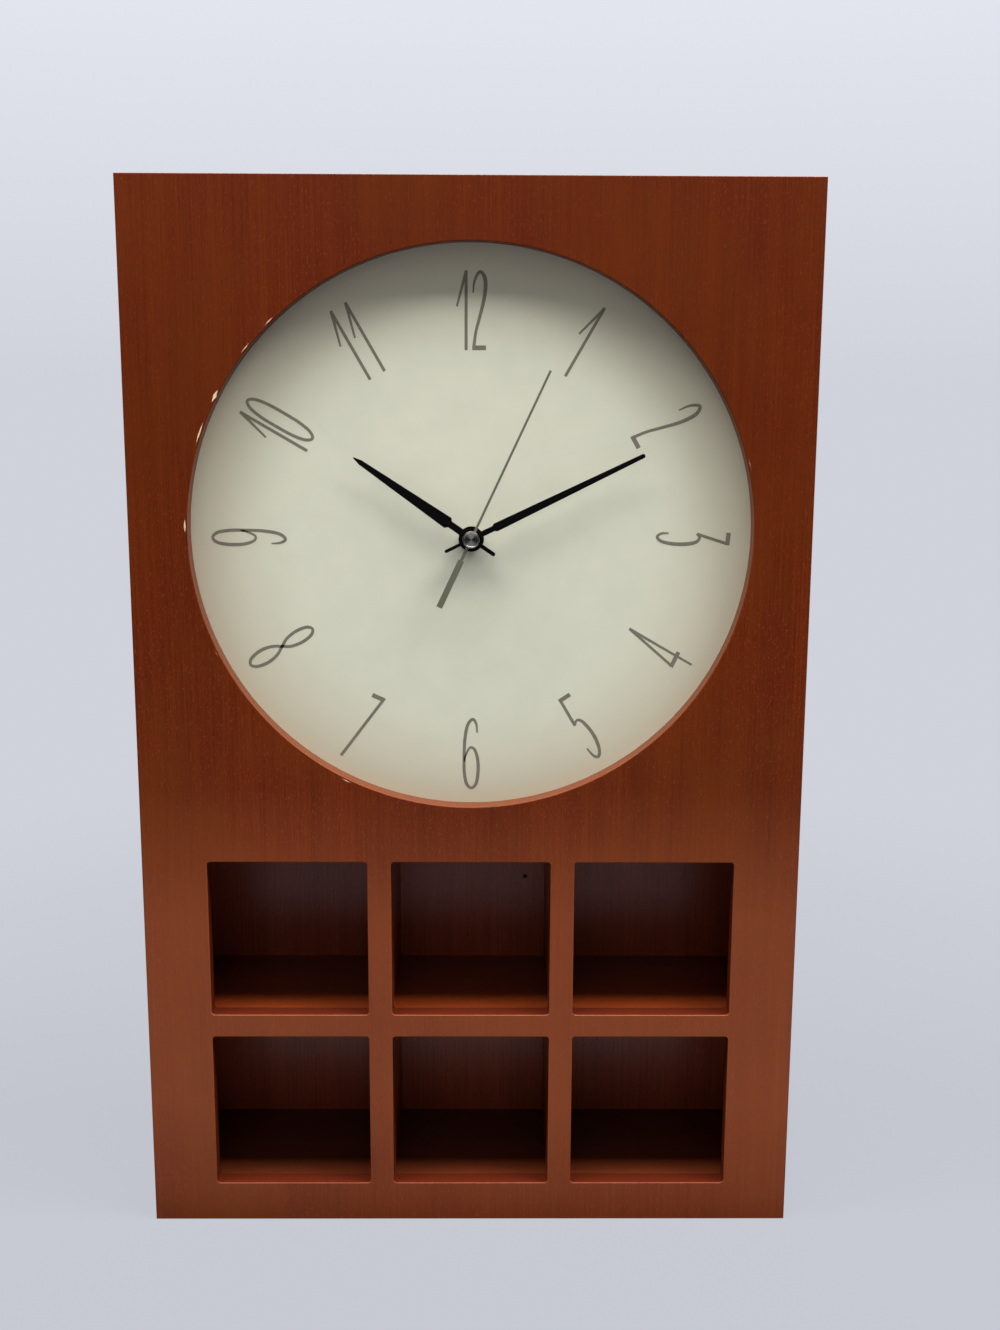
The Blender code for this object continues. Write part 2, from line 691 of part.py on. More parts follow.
def back_panel():
    """Thin board screwed into the rebate, with the opening that reaches the movement."""
    half = CASE_WIDTH / 2 - REBATE_WIDTH - GLUE_GAP
    low = (-half, BACK_FACE_DEPTH, REBATE_WIDTH + GLUE_GAP)
    high = (half, BACK_FACE_DEPTH + BACK_THICKNESS, CASE_HEIGHT - REBATE_WIDTH - GLUE_GAP)
    panel = block("back_panel", low, high, STAINED_BOARD)
    opening = rounded_rectangle(REAR_OPENING_SIDE, REAR_OPENING_SIDE, REAR_OPENING_CORNER)
    front, back = BACK_FACE_DEPTH - GLUE_GAP, BACK_FACE_DEPTH + 2 * BACK_THICKNESS
    cut(panel, plate("rear_opening_cutter", [opening], front, back, centre=HUB, group=CUTTERS))
    pocket = [keyhole_outline(KEYHOLE_POCKET_MARGIN)]
    cut(panel, plate("keyhole_through_cutter", pocket, front, back, group=CUTTERS))
    radius = SCREW_SHANK_DIAMETER / 2 + SCREW_CLEARANCE
    for number, place_xz in enumerate(back_screw_places() + hanger_screw_places()):
        drilled(panel, f"back_hole_{number + 1}", radius, front, back, place_xz)
    return panel


def hanging_rail():
    """Batten behind the top edge of the back panel, routed for the head of a wall screw."""
    inner = INNER_HALF_WIDTH - GLUE_GAP
    top = TOP_INSIDE - GLUE_GAP
    back = BACK_FACE_DEPTH - GLUE_GAP
    low = (-inner, back - BOARD_THICKNESS, top - RAIL_HEIGHT)
    rail = block("hanging_rail", low, (inner, back, top), PINE)
    pocket = [keyhole_outline(KEYHOLE_POCKET_MARGIN)]
    cutter = plate("pocket_cutter", pocket, back - KEYHOLE_POCKET_DEPTH, back + GLUE_GAP, group=CUTTERS)
    cut(rail, cutter)
    radius = SCREW_SHANK_DIAMETER / 2 + SCREW_CLEARANCE
    end = hanger_plate_back() - HANGER_SCREW_LENGTH - SCREW_CLEARANCE
    for number, place_xz in enumerate(hanger_screw_places()):
        drilled(rail, f"rail_pilot_{number + 1}", radius, end, back + GLUE_GAP, place_xz)
    return rail


def hanger_plate_back():
    return BACK_FACE_DEPTH + BACK_THICKNESS + GLUE_GAP / 2 + HANGER_THICKNESS


def hanger_plate():
    """Flat steel plate with a keyhole slot, let into the step behind the back panel."""
    back = hanger_plate_back()
    outline = rounded_rectangle(HANGER_WIDTH, HANGER_HEIGHT, HANGER_HEIGHT / 4)
    centre = (0, hanger_height())
    made = plate("hanger_plate", [outline], back - HANGER_THICKNESS, back, ZINC_STEEL, centre)
    through = (back - 2 * HANGER_THICKNESS, back + HANGER_THICKNESS)
    cut(made, plate("keyhole_cutter", [keyhole_outline(0)], *through, group=CUTTERS))
    top_radius = SCREW_HEAD_DIAMETER / 2 + SCREW_CLEARANCE
    low_radius = SCREW_SHANK_DIAMETER / 2 + SCREW_CLEARANCE
    for number, place_xz in enumerate(hanger_screw_places()):
        cone = [
            (0, through[0]),
            (low_radius, through[0]),
            (low_radius, back - HANGER_THICKNESS),
            (top_radius, back),
            (top_radius, through[1]),
            (0, through[1]),
        ]
        name = f"countersink_{number + 1}"
        cut(made, turned(name, cone, centre=place_xz, steps=SMALL_STEPS, group=CUTTERS))
    return made


def pan_screw(name, centre, seat, length):
    """Screw driven towards the front, with its rounded head behind the seat."""
    shank, head = SCREW_SHANK_DIAMETER / 2, SCREW_HEAD_DIAMETER / 2
    tip = seat - length
    back = seat + SCREW_HEAD_HEIGHT
    profile = [
        (0, tip),
        (shank, tip + SCREW_POINT),
        (shank, seat),
        (head, seat),
        (head, seat + SCREW_HEAD_SIDE),
        (SCREW_HEAD_FLAT / 2, back),
        (0, back),
    ]
    return turned(name, profile, ZINC_STEEL, centre, SMALL_STEPS)


def countersunk_screw(name, centre, face, length):
    shank, head = SCREW_SHANK_DIAMETER / 2, SCREW_HEAD_DIAMETER / 2
    profile = [
        (0, face - length),
        (shank, face - length + SCREW_POINT),
        (shank, face - HANGER_THICKNESS),
        (head, face),
        (0, face),
    ]
    return turned(name, profile, ZINC_STEEL, centre, SMALL_STEPS)


def case_screws():
    seat = BACK_FACE_DEPTH + BACK_THICKNESS + GLUE_GAP / 2
    for number, centre in enumerate(back_screw_places()):
        pan_screw(f"back_screw_{number + 1}", centre, seat, BACK_SCREW_LENGTH)
    face = hanger_plate_back()
    for side, centre in zip(("left", "right"), hanger_screw_places()):
        countersunk_screw(f"hanger_screw_{side}", centre, face, HANGER_SCREW_LENGTH)
    for number, centre in enumerate(dial_screw_places()):
        pan_screw(f"dial_screw_{number + 1}", centre, BOARD_BACK + SEAT_GAP / 2, DIAL_SCREW_LENGTH)


def drill_case_boards(boards):
    """Pilot holes for the back screws, in the boards that they reach."""
    radius = SCREW_SHANK_DIAMETER / 2 + SCREW_CLEARANCE
    tip = BACK_FACE_DEPTH + BACK_THICKNESS - BACK_SCREW_LENGTH - SCREW_CLEARANCE
    left, right, top = boards[:3]
    for number, (x, z) in enumerate(back_screw_places()):
        if z > TOP_INSIDE:
            board = top
        else:
            board = left if x < 0 else right
        drilled(board, f"case_pilot_{number + 1}", radius, tip, CASE_DEPTH, (x, z))


def dial_area():
    """Half width, lower and upper edge of the dial board, which fills the compartment."""
    return INNER_HALF_WIDTH - GLUE_GAP, DECK_TOP + GLUE_GAP, TOP_INSIDE - GLUE_GAP


def dial_screw_places():
    half, low, high = dial_area()
    x = half - DIAL_SCREW_INSET
    return [
        (sx * x, z)
        for z in (low + DIAL_SCREW_INSET, high - DIAL_SCREW_INSET)
        for sx in (-1, 1)
    ]


def hub_hole_radius():
    return BUSHING_DIAMETER / 2 + SEAT_GAP


def dial():
    """The printed card and the board behind it, both drilled for the bushing and the corner screws."""
    half, low, high = dial_area()
    card_low = (-half + CARD_MARGIN, CARD_DEPTH, low + CARD_MARGIN)
    card_high = (half - CARD_MARGIN, CARD_DEPTH + CARD_THICKNESS, high - CARD_MARGIN)
    card = block("dial_card", card_low, card_high, CARD)
    board = block("dial_board", (-half, BOARD_DEPTH, low), (half, BOARD_BACK, high), HARDBOARD)
    front, back = CARD_DEPTH - GLUE_GAP, BOARD_BACK + GLUE_GAP
    for piece in (card, board):
        drilled(piece, "hub_hole_" + piece.name, hub_hole_radius(), front, back, HUB, ROUND_STEPS)
        for number, centre in enumerate(dial_screw_places()):
            radius = SCREW_SHANK_DIAMETER / 2 + SCREW_CLEARANCE
            drilled(piece, f"{piece.name}_hole_{number + 1}", radius, front, back, centre)
    return card, board


def bushing_stack():
    """Threaded bushing with its inner flange, and the gasket, washer and nut that clamp the dial."""
    bore = HOUR_PIPE_DIAMETER / 2 + SEAT_GAP
    outer = BUSHING_DIAMETER / 2
    nut_back = CARD_DEPTH - 2 * SEAT_GAP - WASHER_THICKNESS
    tip = nut_back - NUT_THICKNESS - THREAD_SHOWING
    flange = BUSHING_FLANGE_DIAMETER / 2
    flange_back = MOVEMENT_INSIDE - SEAT_GAP / 3
    profile = [
        (bore, tip),
        (outer, tip),
        (outer, flange_back - BUSHING_FLANGE_THICKNESS),
        (flange, flange_back - BUSHING_FLANGE_THICKNESS),
        (flange, flange_back),
        (bore, flange_back),
    ]
    turned("threaded_bushing", profile, BRASS, HUB, ring=True)
    hole = hub_hole_radius()
    washer_front = CARD_DEPTH - SEAT_GAP - WASHER_THICKNESS
    washer = (WASHER_DIAMETER / 2, hole, washer_front, washer_front + WASHER_THICKNESS)
    tube("dial_washer", *washer, BRASS, HUB)
    gasket_back = GASKET_DEPTH + GASKET_THICKNESS
    tube("rubber_gasket", GASKET_DIAMETER / 2, hole, GASKET_DEPTH, gasket_back, RUBBER, HUB)
    corner = NUT_ACROSS_FLATS / 2 / cos(pi / 6)
    hexagon = circle(corner, 6)
    thread = circle(hole, ROUND_STEPS)
    plate("fixing_nut", [hexagon, thread], nut_back - NUT_THICKNESS, nut_back, BRASS, HUB)


def gear_outline(teeth, module, form, phase):
    """Tooth points of a gear with its first tooth centred at the phase angle."""
    pitch_radius = teeth * module / 2
    step = 2 * pi / teeth
    root = pitch_radius - form["ded"] * module
    tip = pitch_radius + form["add"] * module
    flank = [(root, -form["root"])]
    if "pitch" in form:
        flank.append((pitch_radius, -form["pitch"]))
    flank.append((tip, -form["tip"]))
    flank += [(radius, -share) for radius, share in reversed(flank)]
    points = []
    for tooth in range(teeth):
        for radius, share in flank:
            points.append(offset_point((0, 0), radius, phase + (tooth + share) * step))
    return points


def meshing_phases(direction, driven_teeth):
    """Phase of a gear with a tooth on the line of centres, and of its mate with a space there."""
    return direction, direction + pi + pi / driven_teeth


def gear(name, teeth, module, form, phase, front, back, centre, holes=(), group=None):
    outline = gear_outline(teeth, module, form, phase)
    return plate(name, [outline, *holes], front, back, WHITE_NYLON, centre, group)


def wheel_span(depth):
    return depth, depth + WHEEL_THICKNESS


def pinion_span(depth):
    """A pinion is a little longer than the wheel that it meshes with."""
    return depth - PINION_OVERHANG, depth + WHEEL_THICKNESS + PINION_OVERHANG


def arbored_gear(name, axis, wheel, pinion):
    """A moulded wheel, its pinion and its arbor as one piece, with its origin on the axis."""
    wheel_teeth, wheel_module, wheel_phase, wheel_depth = wheel
    pinion_teeth, pinion_module, pinion_phase, pinion_depth = pinion
    arbor = cylinder(name, ARBOR_RADIUS, ARBOR_FRONT, ARBOR_BACK, WHITE_NYLON, axis, ARBOR_STEPS)
    front, back = wheel_span(wheel_depth)
    disc = gear(
        name + "_wheel", wheel_teeth, wheel_module, WHEEL_TOOTH, wheel_phase,
        front, back, axis, (), CUTTERS,
    )
    front, back = pinion_span(pinion_depth)
    if pinion_depth < wheel_depth:
        back = wheel_depth + WHEEL_THICKNESS / 2
    else:
        front = wheel_depth + WHEEL_THICKNESS / 2
    small = gear(
        name + "_pinion", pinion_teeth, pinion_module, PINION_TOOTH, pinion_phase,
        front, back, axis, (), CUTTERS,
    )
    return settle(join(arbor, disc, small))


def train():
    """The running train, from the rotor to the wheel that slips on the minute arbor."""
    up_third = THIRD_ANGLE
    centre_phase, third_pinion_phase = meshing_phases(up_third, THIRD_PINION_TEETH)
    second_pinion_phase, third_wheel_phase = meshing_phases(up_third, THIRD_WHEEL_TEETH)
    up_intermediate = INTERMEDIATE_ANGLE
    second_phase, intermediate_pinion_phase = meshing_phases(up_intermediate, INTERMEDIATE_PINION_TEETH)
    intermediate_phase, rotor_phase = meshing_phases(ROTOR_ANGLE, ROTOR_PINION_TEETH)

    arbored_gear(
        "third_wheel",
        THIRD_AXIS,
        (THIRD_WHEEL_TEETH, THIRD_MODULE, third_wheel_phase, THIRD_WHEEL_DEPTH),
        (THIRD_PINION_TEETH, CENTRE_MODULE, third_pinion_phase, CENTRE_WHEEL_DEPTH),
    )
    arbored_gear(
        "intermediate_wheel",
        INTERMEDIATE_AXIS,
        (INTERMEDIATE_WHEEL_TEETH, ROTOR_MODULE, intermediate_phase, INTERMEDIATE_WHEEL_DEPTH),
        (INTERMEDIATE_PINION_TEETH, INTERMEDIATE_MODULE, intermediate_pinion_phase, SECOND_WHEEL_DEPTH),
    )
    rotor(rotor_phase)
    second_wheel(second_phase, second_pinion_phase)
    centre_wheel(centre_phase)


def rotor(phase):
    """Pinion and arbor of the rotor, and the ring magnet on it."""
    spindle = cylinder(
        "rotor_pinion", ARBOR_RADIUS, ARBOR_FRONT, ARBOR_BACK, WHITE_NYLON, ROTOR_AXIS, ARBOR_STEPS
    )
    front, back = pinion_span(INTERMEDIATE_WHEEL_DEPTH)
    teeth = gear(
        "rotor_teeth", ROTOR_PINION_TEETH, ROTOR_MODULE, PINION_TOOTH, phase,
        front, back, ROTOR_AXIS, (), CUTTERS,
    )
    settle(join(spindle, teeth))
    back = front - SEAT_GAP
    bore = ARBOR_RADIUS + SEAT_GAP
    tube(
        "rotor_magnet", MAGNET_DIAMETER / 2, bore, back - MAGNET_HEIGHT, back, FERRITE,
        ROTOR_AXIS, MEDIUM_STEPS,
    )


def second_wheel(wheel_phase, pinion_phase):
    """Second wheel and pinion on the long arbor that carries the second hand."""
    front = hand_depths()["second"][0] - PIPE_PROUD
    radius = SECOND_ARBOR_DIAMETER / 2
    arbor = cylinder("second_wheel", radius, front, ARBOR_BACK, WHITE_NYLON, HUB, SMALL_STEPS)
    near, far = wheel_span(SECOND_WHEEL_DEPTH)
    disc = gear(
        "second_disc", SECOND_WHEEL_TEETH, INTERMEDIATE_MODULE, WHEEL_TOOTH, wheel_phase,
        near, far, HUB, (), CUTTERS,
    )
    near, far = pinion_span(THIRD_WHEEL_DEPTH)
    small = gear(
        "second_pinion", SECOND_PINION_TEETH, THIRD_MODULE, PINION_TOOTH, pinion_phase,
        near, SECOND_WHEEL_DEPTH + WHEEL_THICKNESS / 2, HUB, (), CUTTERS,
    )
    return settle(join(arbor, disc, small))


def centre_wheel(phase):
    """Wheel that turns once an hour and grips the minute arbor by friction."""
    bore = circle(MINUTE_TUBE_DIAMETER / 2 + PIVOT_GAP)
    near, far = wheel_span(CENTRE_WHEEL_DEPTH)
    return gear(
        "centre_wheel", CENTRE_WHEEL_TEETH, CENTRE_MODULE, WHEEL_TOOTH, phase,
        near, far, HUB, [bore],
    )


def motion_work():
    """Minute arbor with its cannon pinion, the motion wheel with the knob shaft, and the hour wheel."""
    cannon_phase, motion_phase = meshing_phases(MOTION_ANGLE, MOTION_WHEEL_TEETH)
    hour_phase, motion_pinion_phase = meshing_phases(MOTION_ANGLE, MOTION_PINION_TEETH)
    minute_arbor(cannon_phase)
    motion_wheel(motion_phase, motion_pinion_phase)
    hour_wheel(hour_phase)


def minute_arbor(phase):
    """Tube with the cannon pinion in front of the slipping centre wheel and a collar behind it."""
    outer = MINUTE_TUBE_DIAMETER / 2
    bore = SECOND_ARBOR_DIAMETER / 2 + SEAT_GAP
    front = hand_depths()["minute"][0] - PIPE_PROUD
    collar_front = CENTRE_WHEEL_DEPTH + WHEEL_THICKNESS + PIVOT_GAP
    collar_back = collar_front + COLLAR_THICKNESS
    collar = outer + COLLAR_HEIGHT
    profile = [
        (bore, front),
        (outer, front),
        (outer, collar_front),
        (collar, collar_front),
        (collar, collar_back),
        (bore, collar_back),
    ]
    body = turned("minute_arbor", profile, WHITE_NYLON, HUB, PIPE_STEPS, ring=True)
    near, far = pinion_span(MOTION_WHEEL_DEPTH)
    inside = circle((outer + bore) / 2, PIPE_STEPS)
    teeth = gear(
        "cannon_pinion", CANNON_PINION_TEETH, CANNON_MODULE, PINION_TOOTH, phase,
        near, far, HUB, [inside], CUTTERS,
    )
    return settle(join(body, teeth))


def motion_wheel(wheel_phase, pinion_phase):
    """Wheel and pinion that join the minute and hour work, on the shaft of the setting knob."""
    end = COVER_BACK + SEAT_GAP + KNOB_SHAFT_LENGTH
    profile = [
        (0, ARBOR_FRONT),
        (ARBOR_RADIUS, ARBOR_FRONT),
        (ARBOR_RADIUS, MOVEMENT_INSIDE + PIVOT_GAP),
        (KNOB_SHAFT_RADIUS, MOVEMENT_INSIDE + PIVOT_GAP),
        (KNOB_SHAFT_RADIUS, end),
        (0, end),
    ]
    shaft = turned("motion_wheel", profile, WHITE_NYLON, MOTION_AXIS, SMALL_STEPS)
    near, far = wheel_span(MOTION_WHEEL_DEPTH)
    disc = gear(
        "motion_disc", MOTION_WHEEL_TEETH, CANNON_MODULE, WHEEL_TOOTH, wheel_phase,
        near, far, MOTION_AXIS, (), CUTTERS,
    )
    front, back = pinion_span(HOUR_WHEEL_DEPTH)
    small = gear(
        "motion_pinion", MOTION_PINION_TEETH, MOTION_MODULE, PINION_TOOTH, pinion_phase,
        front, near + WHEEL_THICKNESS / 2, MOTION_AXIS, (), CUTTERS,
    )
    return settle(join(shaft, disc, small))


def hour_wheel(phase):
    """Hour wheel on the pipe that carries the hour hand."""
    outer = HOUR_PIPE_DIAMETER / 2
    bore = MINUTE_TUBE_DIAMETER / 2 + SEAT_GAP
    near, far = wheel_span(HOUR_WHEEL_DEPTH)
    front = hand_depths()["hour"][0] - PIPE_PROUD
    pipe = tube("hour_wheel", outer, bore, front, far, WHITE_NYLON, HUB, PIPE_STEPS)
    holes = [circle((outer + bore) / 2, PIPE_STEPS)]
    disc = gear(
        "hour_disc", HOUR_WHEEL_TEETH, MOTION_MODULE, WHEEL_TOOTH, phase,
        near, far, HUB, holes, CUTTERS,
    )
    return settle(join(pipe, disc))


def set_knob():
    """Fluted knob pressed on the motion wheel's shaft, behind the movement."""
    front = COVER_BACK + SEAT_GAP
    back = front + KNOB_HEIGHT
    outer = KNOB_DIAMETER / 2
    outline = []
    for i in range(KNOB_FLUTES * 4):
        radius = outer - (KNOB_FLUTE_DEPTH if i % 4 in (2, 3) else 0)
        outline.append(offset_point((0, 0), radius, 2 * pi * i / (KNOB_FLUTES * 4)))
    knob = plate("set_knob", [outline], front, back, BLACK_PLASTIC, MOTION_AXIS)
    bore = KNOB_SHAFT_RADIUS + PIVOT_GAP
    end = front + KNOB_SHAFT_LENGTH + SEAT_GAP
    return drilled(knob, "knob_bore", bore, front - SEAT_GAP, end, MOTION_AXIS)


def hand_depths():
    """Front and back depth of each hand, from the one nearest the front."""
    second = HAND_BEHIND_FRONT
    minute = second + HAND_THICKNESS + HAND_SPACING
    hour = minute + HAND_THICKNESS + HAND_SPACING
    return {
        "second": (second, second + HAND_THICKNESS),
        "minute": (minute, minute + HAND_THICKNESS),
        "hour": (hour, hour + HAND_THICKNESS),
    }


def turned_outline(points, angle):
    """Points drawn for a hand at twelve, turned clockwise by the hand's angle."""
    return [(x * cos(angle) + z * sin(angle), z * cos(angle) - x * sin(angle)) for x, z in points]


def baton(tip, blade, neck, shoulder, tip_width, point, blunt, tail, tail_width):
    """Outline of an hour or minute hand: neck, shoulder, tapering blade, blunt point and round-ended tail."""
    right = [
        (tail_width / 2, 0),
        (neck / 2, 0),
        (neck / 2, shoulder),
        (blade / 2, shoulder + SHOULDER_SLOPE),
        (tip_width / 2, tip - point),
        (blunt / 2, tip),
    ]
    left = [(-x, z) for x, z in reversed(right)]
    half = tail_width / 2
    return right + left + arc((0, half - tail), half, pi, 2 * pi, SMALL_STEPS // 2)


def hub_disc(name, radius, bore, span, centre=HUB):
    """Disc with a raised rim, as pressed at the root of a hand."""
    front, back = span
    rim = radius - HUB_RIM_WIDTH
    profile = [
        (bore, front),
        (rim, front),
        (rim, front - HUB_RIM_HEIGHT),
        (radius, front - HUB_RIM_HEIGHT),
        (radius, back),
        (bore, back),
    ]
    return turned(name, profile, centre=centre, ring=True, group=CUTTERS)


def hands():
    depths = hand_depths()
    hour_bore = HOUR_PIPE_DIAMETER / 2 + SEAT_GAP
    hour = baton(
        HOUR_TIP, HOUR_BLADE_WIDTH, HOUR_NECK_WIDTH, HOUR_SHOULDER,
        HOUR_TIP_WIDTH, HOUR_POINT, HOUR_BLUNT, HOUR_TAIL, HOUR_TAIL_WIDTH,
    )
    pressed_hand("hour_hand", hour, HOUR_HAND_ANGLE, depths["hour"], HOUR_HUB_DIAMETER / 2, hour_bore)
    minute_bore = MINUTE_TUBE_DIAMETER / 2 + SEAT_GAP
    minute = baton(
        MINUTE_TIP, MINUTE_BLADE_WIDTH, MINUTE_NECK_WIDTH, MINUTE_SHOULDER,
        MINUTE_TIP_WIDTH, MINUTE_POINT, MINUTE_BLUNT, MINUTE_TAIL, MINUTE_TAIL_WIDTH,
    )
    pressed_hand(
        "minute_hand", minute, MINUTE_HAND_ANGLE, depths["minute"], MINUTE_HUB_DIAMETER / 2, minute_bore
    )
    second_hand(depths["second"])


def pressed_hand(name, outline, angle, span, hub_radius, bore):
    """A thin hand with its hub disc, and the bore that seats on its pipe."""
    made = plate(name, [turned_outline(outline, angle)], *span, BLACK_PAINT, HUB)
    disc = hub_disc(name + "_hub", hub_radius, bore - SEAT_GAP, span)
    join(made, disc)
    front, back = span[0] - HAND_SPACING, span[1] + HAND_SPACING
    drilled(made, name + "_bore", bore, front, back, HUB, MEDIUM_STEPS)
    return settle(made)


def second_hand(span):
    """Thin hand with a square counterweight, a short collet behind it, and the cap in front."""
    half_tip, half_root = SECOND_TIP_WIDTH / 2, SECOND_ROOT_WIDTH / 2
    half_neck, half_weight = SECOND_NECK_WIDTH / 2, SECOND_WEIGHT_WIDTH / 2
    slope = half_weight - half_neck
    right = [
        (half_weight, -SECOND_TAIL),
        (half_weight, -SECOND_WEIGHT_START - slope),
        (half_neck, -SECOND_WEIGHT_START),
        (half_neck, 0),
        (half_root, 0),
        (half_tip, SECOND_TIP),
    ]
    left = [(-x, z) for x, z in reversed(right)]
    outline = turned_outline(right + left, SECOND_HAND_ANGLE)
    made = plate("second_hand", [outline], *span, SILVER_PAINT, HUB)
    bore = SECOND_ARBOR_DIAMETER / 2 + PIVOT_GAP
    collet_back = span[1] + COLLET_LENGTH
    inside = bore - SEAT_GAP
    collet = tube(
        "second_collet", COLLET_DIAMETER / 2, inside, span[1] - HAND_THICKNESS / 2,
        collet_back, None, HUB, MEDIUM_STEPS, CUTTERS,
    )
    disc = tube(
        "second_disc_hub", SECOND_HUB_DIAMETER / 2, inside, *span, None, HUB, PIPE_STEPS, CUTTERS
    )
    join(made, disc, collet)
    drilled(made, "second_bore", bore, span[0] - HAND_SPACING, collet_back + HAND_SPACING, HUB)
    settle(made)
    back = span[0] - SEAT_GAP
    front = back - CAP_THICKNESS
    rim = CAP_DIAMETER / 2
    profile = [
        (0, front + CAP_DISH),
        (rim - CAP_BEVEL - CAP_RIM_WIDTH, front + CAP_DISH),
        (rim - CAP_BEVEL - CAP_RIM_WIDTH, front),
        (rim - CAP_BEVEL, front),
        (rim, front + CAP_BEVEL),
        (rim, back),
        (0, back),
    ]
    return turned("second_cap", profile, SPUN_STEEL, HUB)


def movement_case():
    """Moulded case: front wall, side walls, battery bay, pivot holes and the posts that carry the train."""
    outline = rounded_rectangle(MOVEMENT_SIDE, MOVEMENT_SIDE, MOVEMENT_CORNER)
    case = plate("movement_case", [outline], MOVEMENT_FRONT, MOVEMENT_BACK, BLACK_PLASTIC, HUB)
    back = MOVEMENT_BACK + MOVEMENT_WALL
    inner = MOVEMENT_INNER
    low_z = HUB_HEIGHT - inner
    train_low = (-inner, MOVEMENT_INSIDE, TRAIN_BOTTOM)
    train_high = (inner, back, HUB_HEIGHT + inner)
    bay_low = (-inner, MOVEMENT_INSIDE, low_z)
    cut(case, block("train_cavity", train_low, train_high, group=CUTTERS))
    cut(case, block("battery_cavity", bay_low, (inner, back, BAY_TOP), group=CUTTERS))
    notch = inner - CONTACT_GAP
    for name, x0, x1 in (("notch_left", -inner, -notch), ("notch_right", notch, inner)):
        low = (x0, MOVEMENT_INSIDE, BAY_TOP - MOVEMENT_WALL)
        high = (x1, back, TRAIN_BOTTOM + MOVEMENT_WALL)
        cut(case, block(name, low, high, group=CUTTERS))
    bushing_seat(case)
    for name, axis in train_axes().items():
        front = MOVEMENT_INSIDE - PIVOT_HOLE_DEPTH
        drilled(case, name + "_pivot", ARBOR_RADIUS + PIVOT_GAP, front, MOVEMENT_INSIDE + PIVOT_GAP, axis)
    root = MOVEMENT_INSIDE - MOVEMENT_WALL / 2
    for number, axis in enumerate(post_places()):
        name = f"post_{number + 1}"
        end = BRIDGE_DEPTH - SEAT_GAP
        join(case, cylinder(name, POST_RADIUS, root, end, centre=axis, steps=SMALL_STEPS, group=CUTTERS))
    for number, axis in enumerate(coil_post_places()):
        seat = core_depths()[0] - SEAT_GAP
        profile = [
            (0, root),
            (2 * COIL_POST_RADIUS, root),
            (2 * COIL_POST_RADIUS, seat),
            (COIL_POST_RADIUS, seat),
            (COIL_POST_RADIUS, stator_depths()[1] + SEAT_GAP),
            (0, stator_depths()[1] + SEAT_GAP),
        ]
        name = f"coil_post_{number + 1}"
        join(case, turned(name, profile, centre=axis, steps=SMALL_STEPS, group=CUTTERS))
    return settle(case)


def bushing_seat(case):
    """Stepped hole in the front wall that traps the flange of the bushing."""
    through = hub_hole_radius()
    seat = BUSHING_FLANGE_DIAMETER / 2 + SEAT_GAP
    step = MOVEMENT_INSIDE - BUSHING_FLANGE_THICKNESS - SEAT_GAP
    profile = [
        (0, MOVEMENT_FRONT - SEAT_GAP),
        (through, MOVEMENT_FRONT - SEAT_GAP),
        (through, step),
        (seat, step),
        (seat, MOVEMENT_INSIDE + SEAT_GAP),
        (0, MOVEMENT_INSIDE + SEAT_GAP),
    ]
    return cut(case, turned("bushing_seat_cutter", profile, centre=HUB, group=CUTTERS))


def train_axes():
    return {
        "third": THIRD_AXIS,
        "intermediate": INTERMEDIATE_AXIS,
        "rotor": ROTOR_AXIS,
        "motion": MOTION_AXIS,
    }


def post_places(inset=POST_INSET):
    """Posts in the four corners of the train space, by default merged with the walls."""
    x = MOVEMENT_INNER - inset
    low, high = TRAIN_BOTTOM + inset, HUB_HEIGHT + MOVEMENT_INNER - inset
    return [(-x, high), (x, high), (-x + CONTACT_GAP, low), (x - CONTACT_GAP, low)]


def coil_x():
    return -MOVEMENT_INNER + COIL_OFFSET


def coil_span():
    """Lower and upper end of the winding."""
    middle = (ROTOR_AXIS[1] + HUB_HEIGHT) / 2 - COIL_DROP
    return middle - COIL_LENGTH / 2, middle + COIL_LENGTH / 2


def coil_post_places():
    low, high = coil_span()
    reach = CORE_END / 2 + SEAT_GAP
    return [(coil_x(), low - reach), (coil_x(), high + reach)]


def stator_depths():
    middle = INTERMEDIATE_WHEEL_DEPTH - PINION_OVERHANG - SEAT_GAP - MAGNET_HEIGHT / 2
    return middle - STATOR_THICKNESS / 2, middle + STATOR_THICKNESS / 2


def core_depths():
    back = stator_depths()[0] - SEAT_GAP
    return back - CORE_SIDE, back


def coil_and_core():
    """Iron core with its end pads, the wound bobbin on it, and the stator plate round the magnet."""
    x = coil_x()
    front, back = core_depths()
    (_, low), (_, high) = coil_post_places()
    half, pad = CORE_SIDE / 2, CORE_END / 2
    right = [
        (pad, low - pad),
        (pad, low + pad),
        (half, low + pad),
        (half, high - pad),
        (pad, high - pad),
        (pad, high + pad),
    ]
    outline = right + [(-px, pz) for px, pz in reversed(right)]
    hole = COIL_POST_RADIUS + PIVOT_GAP
    holes = [circle(hole, SMALL_STEPS, (0, z)) for z in (low, high)]
    plate("coil_core", [outline, *holes], front, back, SILICON_STEEL, (x, 0))

    winding_low, winding_high = coil_span()
    bore = hypot(half, half) + SEAT_GAP
    flange = COIL_RADIUS
    wire = COIL_RADIUS - WIRE_INSET
    inset = COIL_FLANGE
    profile = [
        (bore, -winding_high),
        (flange, -winding_high),
        (flange, -(winding_high - inset)),
        (wire, -(winding_high - inset)),
        (wire, -(winding_low + inset)),
        (flange, -(winding_low + inset)),
        (flange, -winding_low),
        (bore, -winding_low),
    ]
    coil = turned("coil", profile, COPPER, steps=MEDIUM_STEPS, ring=True)
    coil.rotation_euler = (0, 0, 0)
    coil.location = (x, FRONT_Y + (front + back) / 2, 0)

    stator(x, low, high)


